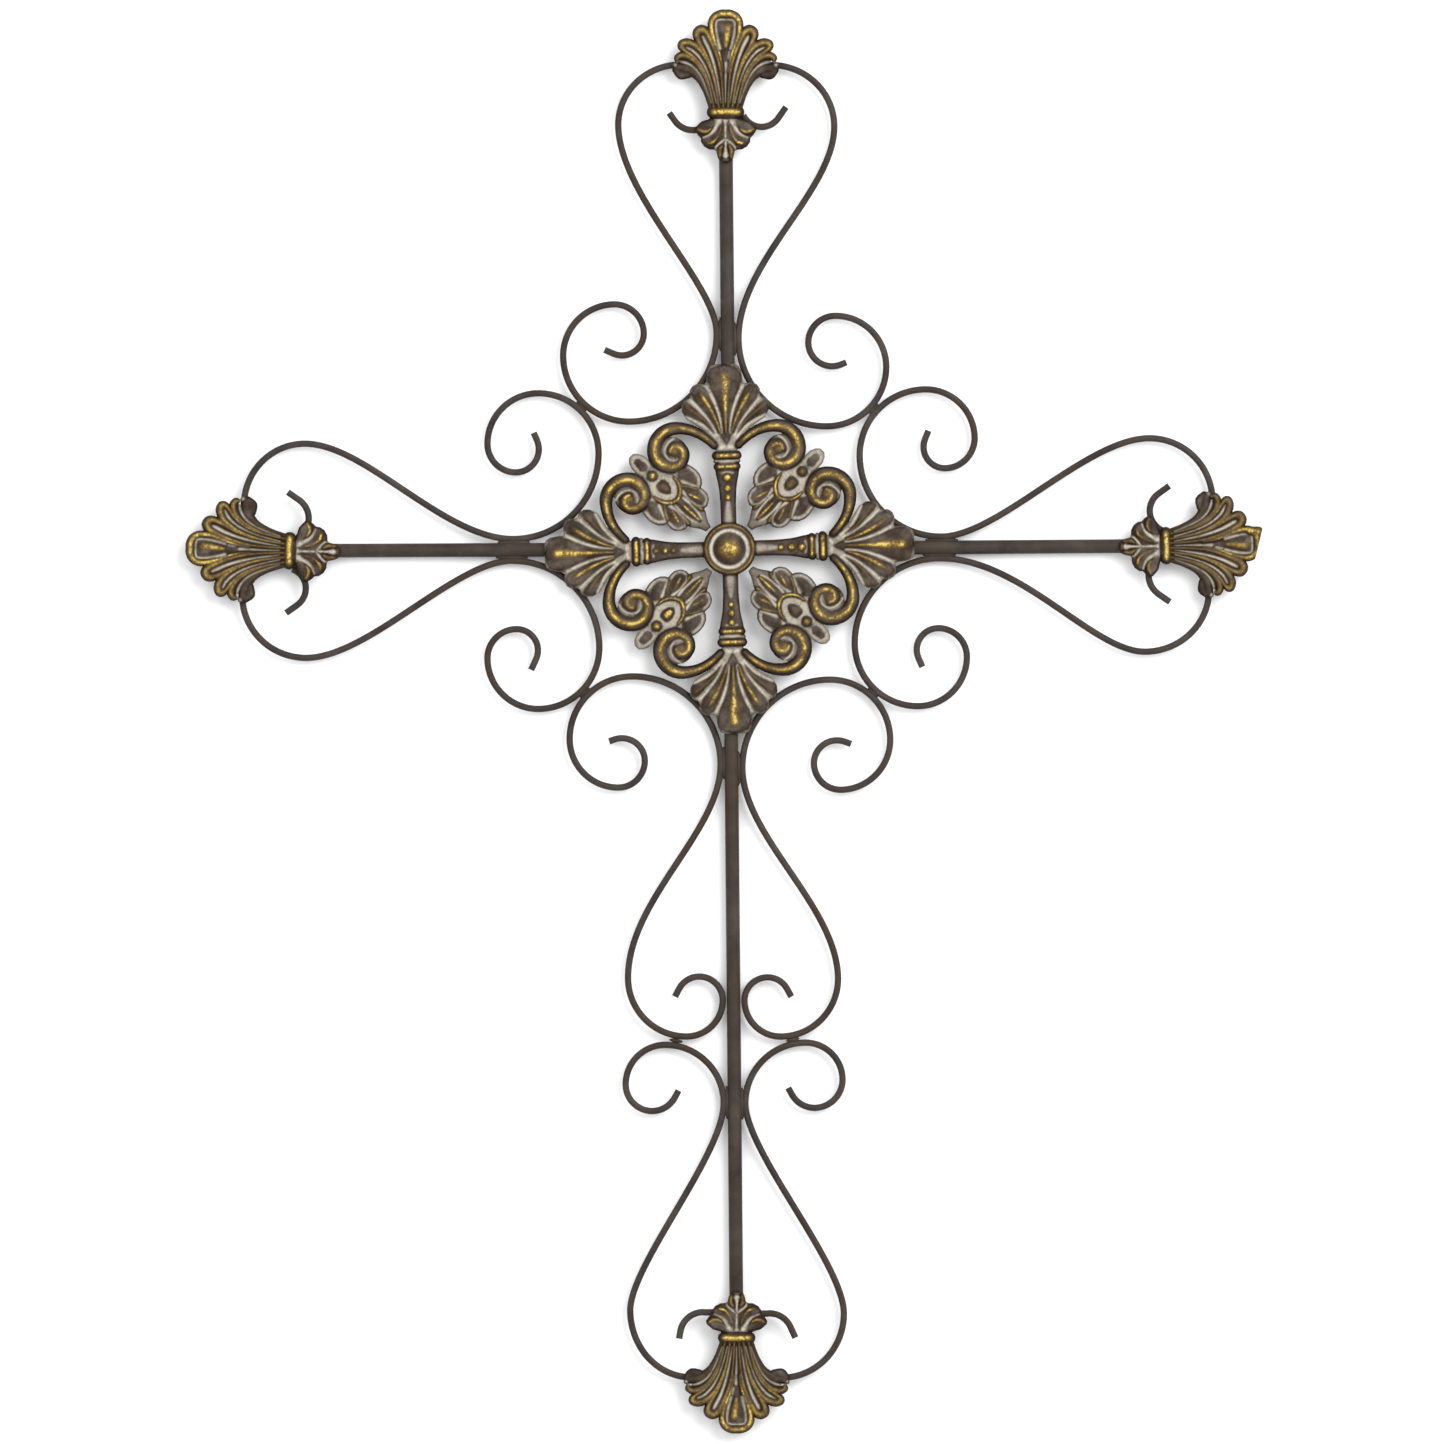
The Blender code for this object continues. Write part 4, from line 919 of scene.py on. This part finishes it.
# A leaf: its outline, the tab beyond, the cup round its eye, and its crests and grooves
LEAF_ANGLE = 45.0
LEAF_EDGE = (
    (2.2, 19), (3.4, 22.5), (5.2, 25.5), (7, 28.2), (8, 30.4), (10.4, 30), (13.2, 31.4), (15.6, 34.6),
    (16.8, 38.2), (16.4, 41.4), (18.6, 42.4), (21, 44.8), (22.6, 48.6), (22.9, 52.4), (22, 55.6),
    (20.2, 58.2), (12, 62), (6, 68), (4.6, 75),
)
LEAF_TAB = ((5, 74), (6, 79), (5.8, 83.6), (4.2, 87.2), (1.8, 89.4))
LEAF_EYE_GROUND = ((0.5, 48.4), (5, 50.4), (8, 54.8), (9, 60), (7, 66), (4.6, 74))
LEAF_EYE = ((1, 53.4), (3, 55.8), (4.3, 59), (4.2, 62), (2.6, 64.2))
LEAF_FIELDS = (
    (LEAF_EDGE, 2.0, 0.5, 1.6, 0.0, 0.22),
    (LEAF_EYE_GROUND, 2.5, 0.0, 1.0, 0.0, 0.7),
    (LEAF_TAB, 2.2, 0.6, 1.0, 0.0, 0.65),
)
LEAF_TAB_CREST = ((((0, 78.6), (0, 83)), (3.4, 2.8), 2.5, 0.9, 0),)
LEAF_SIDE = (
    (((20.6, 57), (21.3, 51.6), (20, 46.6), (17.2, 43.8)), 1.6, 2.6, 1.5, 0, 0.75),
    (((13.4, 57.8), (15.4, 53), (16.2, 47.6)), (3, 4, 2.8), 2.5, 1.4, 0),
    (((8.8, 51), (11.6, 47.2), (14, 42.8)), (0.9, 1.3, 1.3), 2.8, 1.4, 0.9),
    (((15.3, 40.4), (15.2, 36.2), (12.9, 32.8), (9.8, 31.6)), 1.4, 2.6, 1.4, 0, 0.65),
    (((6.8, 47), (9.2, 41.6), (11.2, 36)), (2.4, 3.9, 3.9), 2.5, 1.5, 0),
    (((7.9, 44), (9.2, 40.4), (10.2, 36.8)), (1.1, 1.8, 1.3), 3.4, 1.2, 1.3),
    (((5.2, 39), (5.8, 34), (6.6, 31)), (0.8, 1.4, 1.5), 2.8, 1.4, 1),
)
LEAF_TIP = (
    (((0, 46), (0, 38), (0, 28.6)), (1.8, 3.2, 2.4), 2.6, 1.5, 0),
    (((0, 41.4), (0, 34), (0, 27.6)), (1, 1.7, 1.2), 3.5, 1.2, 1.4),
)
LEAF_GROOVES = (
    (((3.6, 45.6), (3.9, 38), (3.2, 31.6), (1.6, 27)), (0.8, 0.9, 0.9, 0.7), 0.6, 1),
    (((6.4, 49), (5.6, 42), (6.2, 35.4), (8.6, 32.4)), (1, 0.5, 0.4, 0.5), 0.6, 1),
    (((11, 53.4), (13.4, 47.6), (16, 42.8)), (1.2, 0.8, 0.7), 0.6, 1),
    (((9.8, 58.6), (11.8, 60.4)), (1.6, 1.2), 0.6, 1),
)
LEAF_CUP = ((9.3, 59.4), (8.4, 54.2), (5.2, 49.6), (0, 47.2), (-5.2, 49.6), (-8.4, 54.2), (-9.3, 59.4))
LEAF_CUP_RADII = (0.9, 1.6, 1.9, 1.9, 1.9, 1.6, 0.9)
LEAF_EYE_CREST = ((((0, 57.6), (0, 60.2)), (2.2, 2.4), 3.9, 0.9, 1, 0, 0.8),)
LEAF_BEAD = (
    (((0, 70), (0.01, 70)), 3.9, 2.4, 2.2, 0),
    (((0, 70), (0.01, 70)), 2.5, 3.7, 1.5, 1, 0, 0.8),
)

# How much gold is left on each leaf's eye, bead and ribs, for the leaf beyond each arm, going anticlockwise
LEAF_GOLD = {
    "top": (0.45, 1.5, 1.1),
    "left": (1.5, 1.4, 0.9),
    "bottom": (0.4, 0.9, 1),
    "right": (0.6, 0.6, 0.9),
}
MEDALLION_CELL = 0.62


def medallion_relief():
    """The openwork centre casting."""
    relief = Relief((-125.0, -125.0), (125.0, 125.0), MEDALLION_CELL)
    for arm, turn in ARM_TURN.items():
        medallion_leaf(relief, turn + LEAF_ANGLE, *LEAF_GOLD[arm])
    for arm, turn in ARM_TURN.items():
        medallion_arm(relief, turn, BEADS[arm])
    boss(relief)
    relief.finish(1.2, 1.6, 0.42)
    return relief


def boss(relief):
    """A gold-edged outer ring, a pale groove and a mottled dome."""
    spot, _, _, inside = relief.near(((0.0, 0.0), (0.01, 0.0)), (BOSS_RADIUS, BOSS_RADIUS))
    radius = np.hypot(*np.meshgrid(relief.x[spot[1]], relief.y[spot[0]]))
    relief.edge[spot] = np.maximum(relief.edge[spot], inside)
    within = inside > 0.0
    relief.height[spot] = np.where(within, np.interp(radius, BOSS_STEPS, BOSS_HEIGHTS), relief.height[spot])
    gold = 0.8 * np.exp(-(((radius - 15.6) / 0.8) ** 2)) + 1.1 * np.exp(-((radius / 6.4) ** 4))
    relief.paint(spot, within, gold, 1.1 * np.exp(-(((radius - 12.2) / 1.2) ** 4)))


def medallion_arm(relief, turn, beads):
    """One arm: its tapered stem with beads and two rings, the palmette and a volute on each side."""
    for side in (-1.0, 1.0):
        volute(relief, side, turn)
    relief.pillow(led(mirrored(PALMETTE_FLANGE), 1.0, turn), 2.3, 0.0, 1.0, pale=0.5)
    relief.pillow(led(mirrored(CROWN_FIELD), 1.0, turn), 2.3, 1.7, 1.6)
    draw(relief, CROWN_CRESTS, 1.0, turn)
    for side in (-1.0, 1.0):
        relief.pillow(led(INNER_FIELD, side, turn), 2.3, 1.4, 1.2)
        draw(relief, INNER_CREST, side, turn)
        relief.pillow(led(OUTER_FIELD, side, turn), 2.3, 1.2, 1.2)
        draw(relief, OUTER_CREST, side, turn)
    relief.pillow(led(mirrored(PALMETTE_FOOT), 1.0, turn), 2.9, 1.2, 1.0)
    for side in (-1.0, 1.0):
        draw(relief, PALMETTE_GROOVES, side, turn)
    draw(relief, STEM_STROKES, 1.0, turn)
    for out, radius in beads:
        spot = led(((0.0, out), (0.01, out)), 1.0, turn)
        relief.groove(spot, radius + 1.4, 0.6)
        relief.crest(spot, radius + 0.3, 3.0, 2.1, 1.7, width=0.8)
    for out, half, radius, base, gold, pale in COLLAR_ROLLS:
        relief.crest(led(((-half, out), (half, out)), 1.0, turn), radius, base, 1.9, 0.0, pale)
        if gold:
            line = led(((1.0 - half, out), (half - 1.0, out)), 1.0, turn)
            relief.crest(line, radius * 0.55, base + 1.0, 1.5, gold, width=0.8)


def volute_line():
    """Out from the collar and in to the ball, along arcs that get tighter."""
    points = bezier_line(VOLUTE_START, 10)
    heading = math.pi / 2
    place = VOLUTE_START[-1][::-1]
    for radius in VOLUTE_RADII:
        middle = (place[0] - radius * math.sin(heading), place[1] + radius * math.cos(heading))
        for i in range(1, VOLUTE_STEPS + 1):
            angle = heading + math.pi / 2 * i / VOLUTE_STEPS
            place = (middle[0] + radius * math.sin(angle), middle[1] - radius * math.cos(angle))
            points.append(place[::-1])
        heading += math.pi / 2
    return points


def volute(relief, side, turn):
    """A tapering scroll with a gold ridge that winds in to a ball."""
    draw(relief, VOLUTE_FIELD, side, turn)
    line = led(volute_line(), side, turn)
    widths = spread(VOLUTE_WIDTHS, len(line))
    relief.crest(line, widths, 2.1, 2.4)
    relief.crest(line, widths * 0.62, 3.2, 1.6, 1.1, width=0.58, ends=(0.08, 0.0))
    draw(relief, VOLUTE_BALL, side, turn)


def medallion_leaf(relief, turn, eye_gold, bead_gold, rib_gold):
    """A diagonal leaf: a tip and two rimmed lobes a side round a cup, an eye and a bead, and a tab beyond."""
    for outline, *values in LEAF_FIELDS:
        relief.pillow(led(mirrored(outline), 1.0, turn), *values)
    draw(relief, LEAF_TAB_CREST, 1.0, turn)
    for side in (-1.0, 1.0):
        draw(relief, LEAF_SIDE, side, turn, rib_gold)
    draw(relief, LEAF_TIP, 1.0, turn, rib_gold)
    for side in (-1.0, 1.0):
        draw(relief, LEAF_GROOVES, side, turn)
    cup = led(LEAF_CUP, 1.0, turn)
    relief.crest(cup, LEAF_CUP_RADII, 2.6, 1.1)
    relief.crest(cup, [0.6 * radius for radius in LEAF_CUP_RADII], 3.2, 1.4, 1.2, width=0.8)
    relief.pillow(led(mirrored(LEAF_EYE), 1.0, turn), 2.5, 2.0, 1.4)
    draw(relief, LEAF_EYE_CREST, 1.0, turn, eye_gold)
    draw(relief, LEAF_BEAD, 1.0, turn, bead_gold)


def place_on_back(x, y, turn):
    """Lays a casting's back on the castings' plane, turned anticlockwise in the front view."""
    stand = Matrix.Rotation(math.radians(90.0), 4, "X")
    spin = Matrix.Rotation(math.radians(turn), 4, "Z")
    spot = Vector((BOSS.x + x * MM, CAST_BACK, BOSS.z + y * MM))
    return Matrix.Translation(spot) @ stand @ spin


def cast_pieces(material):
    for arm, turn in ARM_TURN.items():
        relief = finial_relief(arm)
        x, y = placed(arm, 1, COLLAR_AT[arm], 0.0)
        place = place_on_back(x, y, turn - ARM_LEAN[arm] + FINIAL_TURN[arm])
        obj = relief_piece(f"finial_{arm}_cast", relief, place, material)
        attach(obj, "root")
        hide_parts(f"finial_{arm}")
    place = place_on_back(0.0, 0.0, MEDALLION_TURN)
    obj = relief_piece("medallion_cast", medallion_relief(), place, material)
    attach(obj, "root")
    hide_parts("medallion")


# The wall just behind the plate, the lights (place, size, watts), and the view: how wide the frame is at the
# cross, and its middle from the boss
WALL_SIZE = 12.0
WALL_GAP = 0.0008
LIT_POINT = (0.0, 0.0, BOSS.z - 0.1)
LIGHTS = {"key": ((1.9, -3.2, 1.1), 2.8, 135.0), "fill": ((-1.6, -3.6, 0.6), 2.4, 35.0)}
SKY = 0.95
VIEW_DISTANCE = 12.0
FRAME_WIDTH = 0.9538
VIEW_RIGHT = -0.00566
VIEW_UP = -0.11415
VIEW_ROLL = -0.52


class Paint:
    """A material with short ways to add the nodes that its colours are mixed from."""

    def __init__(self, name):
        self.material = bpy.data.materials.new(name)
        self.material.use_nodes = True
        self.nodes = self.material.node_tree.nodes
        self.links = self.material.node_tree.links
        self.shader = self.nodes["Principled BSDF"]

    def add(self, kind, **inputs):
        """A node with values or other nodes' outputs in its sockets."""
        node = self.nodes.new("ShaderNode" + kind)
        for name, value in inputs.items():
            self.put(value, node.inputs[name])
        return node

    def put(self, value, socket):
        if isinstance(value, bpy.types.NodeSocket):
            self.links.new(value, socket)
        else:
            socket.default_value = value

    def noise(self, scale, detail=4.0, roughness=0.6):
        place = self.add("TexCoord").outputs["Object"]
        node = self.add("TexNoise", Vector=place, Scale=scale, Detail=detail, Roughness=roughness)
        return node.outputs["Fac"]

    def attribute(self, name):
        node = self.add("Attribute")
        node.attribute_name = name
        return node.outputs["Fac"]

    def ramp(self, value, stops):
        node = self.add("ValToRGB", Fac=value)
        while len(node.color_ramp.elements) < len(stops):
            node.color_ramp.elements.new(0.5)
        for element, (spot, colour) in zip(node.color_ramp.elements, stops):
            element.position = spot
            element.color = (*colour, 1.0)
        return node.outputs["Color"]

    def mixed(self, factor, first, second):
        """The first colour, and the second where the factor is 1."""
        node = self.add("Mix")
        node.data_type = "RGBA"
        self.put(factor, node.inputs[0])
        self.put(first, node.inputs[6])
        self.put(second, node.inputs[7])
        return node.outputs[2]

    def maths(self, kind, first, second, clamp=False):
        node = self.add("Math")
        node.operation = kind
        node.use_clamp = clamp
        self.put(first, node.inputs[0])
        self.put(second, node.inputs[1])
        return node.outputs[0]

    def scaled(self, value, middle, factor, clamp=False):
        """A value counted from a middle and multiplied."""
        return self.maths("MULTIPLY", self.maths("SUBTRACT", value, middle), factor, clamp)

    def finished(self, colour, gloss, scale, distance, strength):
        """Sets the colour, an even roughness and gloss, and a fine bump."""
        bump = self.add("Bump", Strength=strength, Distance=distance, Height=self.noise(scale))
        self.put(colour, self.shader.inputs["Base Color"])
        self.put(0.5, self.shader.inputs["Roughness"])
        self.put(gloss, self.shader.inputs["Specular IOR Level"])
        self.put(bump.outputs["Normal"], self.shader.inputs["Normal"])
        return self.material


def rod_material():
    """Matt dark bronze paint, faintly mottled with spots and with broad warmer stretches."""
    paint = Paint("rod_paint")
    colour = paint.ramp(
        paint.noise(45.0, 6.0, 0.65),
        ((0.32, (0.024, 0.019, 0.017)), (0.5, (0.038, 0.030, 0.026)), (0.68, (0.055, 0.045, 0.037))),
    )
    spots = paint.scaled(paint.noise(220.0), 0.6, 3.0, True)
    colour = paint.mixed(spots, colour, (0.085, 0.072, 0.056, 1.0))
    warm = paint.maths("MULTIPLY", paint.scaled(paint.noise(9.0, 2.0), 0.45, 5.0, True), 0.6)
    colour = paint.mixed(warm, colour, (0.040, 0.026, 0.015, 1.0))
    return paint.finished(colour, 0.1, 900.0, 0.0003, 0.25)


def patchy(paint, amount, patch, fine, middle, coarse_spread, fine_spread):
    """An amount broken up by a coarse and a fine noise, which count from their middle value."""
    coarse = paint.scaled(patch, 0.5, coarse_spread)
    share = paint.maths("ADD", coarse, paint.scaled(fine, 0.5, fine_spread))
    return paint.maths("MULTIPLY", amount, paint.maths("ADD", share, middle, True), True)


def cast_material():
    """Dark bronze paint with gold rubbed on the crests, a pale wash left in the grooves, and painted shade
    with some dark patina on flanks, in hollows and at edges.
    """
    paint = Paint("cast_patina")
    patch = paint.noise(130.0, 3.0)
    fine = paint.noise(620.0, 4.0, 0.65)
    shade_and_patina = paint.attribute("shade_and_patina")
    brown = paint.ramp(
        paint.noise(90.0, 6.0, 0.65),
        (
            (0.32, (0.018, 0.0105, 0.006)), (0.45, (0.036, 0.024, 0.016)), (0.55, (0.060, 0.044, 0.034)),
            (0.68, (0.095, 0.077, 0.058)),
        ),
    )
    # Near-black painted shade, with some dark patina, on flanks, in hollows and along the edges
    brown = paint.mixed(shade_and_patina, brown, (0.013, 0.0065, 0.0035, 1.0))
    worn = patchy(paint, paint.attribute("gold"), patch, fine, 0.74, 2.0, 1.8)
    gold = paint.ramp(
        worn,
        (
            (0.0, (0.055, 0.031, 0.010)), (0.4, (0.130, 0.080, 0.019)), (0.75, (0.27, 0.18, 0.042)),
            (1.0, (0.52, 0.385, 0.095)),
        ),
    )
    # The pale wash is held back where shade is painted
    bare = paint.maths("SUBTRACT", 1.0, paint.maths("MULTIPLY", shade_and_patina, 0.75))
    wash = paint.maths("MULTIPLY", paint.attribute("pale"), bare)
    wash = patchy(paint, wash, patch, fine, 0.9, -1.6, 1.8)
    colour = paint.mixed(wash, brown, (0.47, 0.425, 0.345, 1.0))
    colour = paint.mixed(paint.maths("POWER", worn, 0.6), colour, gold)
    paint.put(paint.maths("MULTIPLY", worn, 0.4), paint.shader.inputs["Metallic"])
    return paint.finished(colour, 0.12, 650.0, 0.0005, 0.4)


def wall_material():
    """White seen from the front. From behind it lets the view through to the back of the object."""
    paint = Paint("wall")
    paint.put((0.9, 0.9, 0.9, 1.0), paint.shader.inputs["Base Color"])
    paint.put(0.9, paint.shader.inputs["Roughness"])
    paint.put(0.0, paint.shader.inputs["Specular IOR Level"])
    mix = paint.add("MixShader", Fac=paint.add("NewGeometry").outputs["Backfacing"])
    paint.put(paint.shader.outputs["BSDF"], mix.inputs[1])
    paint.put(paint.add("BsdfTransparent").outputs["BSDF"], mix.inputs[2])
    paint.put(mix.outputs["Shader"], paint.nodes["Material Output"].inputs["Surface"])
    return paint.material


def wall():
    bpy.ops.mesh.primitive_plane_add(size=WALL_SIZE, location=(0.0, WALL_GAP, BOSS.z))
    obj = bpy.context.object
    obj.name = "wall"
    obj.rotation_euler = (math.radians(90.0), 0.0, 0.0)
    obj.data.materials.append(wall_material())


def area_light(name, location, size, power):
    data = bpy.data.lights.new(name, "AREA")
    data.shape = "DISK"
    data.size = size
    data.energy = power
    obj = bpy.data.objects.new(name, data)
    obj.location = location
    obj.rotation_euler = (Vector(LIT_POINT) - Vector(location)).to_track_quat("-Z", "Y").to_euler()
    bpy.context.scene.collection.objects.link(obj)


def lights():
    """A broad key light from the upper right, a weak fill from the left and a white surrounding."""
    for name, (location, size, power) in LIGHTS.items():
        area_light(name, location, size, power)
    world_light = bpy.data.worlds.new("studio")
    world_light.use_nodes = True
    sky = world_light.node_tree.nodes["Background"]
    sky.inputs["Color"].default_value = (1.0, 1.0, 1.0, 1.0)
    sky.inputs["Strength"].default_value = SKY
    bpy.context.scene.world = world_light


def camera():
    """Square on to the cross and far away, rolled half a degree as the photo is."""
    data = bpy.data.cameras.new("camera")
    data.sensor_fit = "HORIZONTAL"
    data.sensor_width = 36.0
    data.lens = 36.0 * VIEW_DISTANCE / FRAME_WIDTH
    data.clip_end = 50.0
    obj = bpy.data.objects.new("camera", data)
    obj.location = (BOSS.x + VIEW_RIGHT, BOSS.y - VIEW_DISTANCE, BOSS.z + VIEW_UP)
    look = Matrix.Rotation(math.radians(90.0), 4, "X")
    roll = Matrix.Rotation(math.radians(VIEW_ROLL), 4, "Z")
    obj.rotation_euler = (look @ roll).to_euler()
    bpy.context.scene.collection.objects.link(obj)
    bpy.context.scene.camera = obj


def main():
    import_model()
    bpy.context.scene.view_settings.view_transform = "Standard"
    camera()
    lights()
    wall()
    rod_metal = rod_material()
    cast_metal = cast_material()
    ends = {arm: placed(arm, 1, height + BAR_END_PAST_COLLAR, 0.0) for arm, height in COLLAR_AT.items()}
    bar_piece("vertical_bar", ends["bottom"], ends["top"], rod_metal)
    for arm in ("left", "right"):
        bar_piece(f"crossbar_{arm}", placed(arm, 1, BAR_RADIUS + CLEARANCE, 0.0), ends[arm], rod_metal)
    for name, rod in RODS.items():
        rod_piece(name, rod["arm"], rod["side"], rod_points(name), 0.0, rod_metal)
    for name, (arm, side, *bend) in HOOKS.items():
        rod_piece(name, arm, side, hook_points(arm, *bend), HOOK_DEPTH, rod_metal)
    weld_beads(rod_metal)
    cast_pieces(cast_metal)
    for slot in bpy.data.objects["hanger_plate"].material_slots:
        slot.link = "OBJECT"
        slot.material = rod_metal


main()
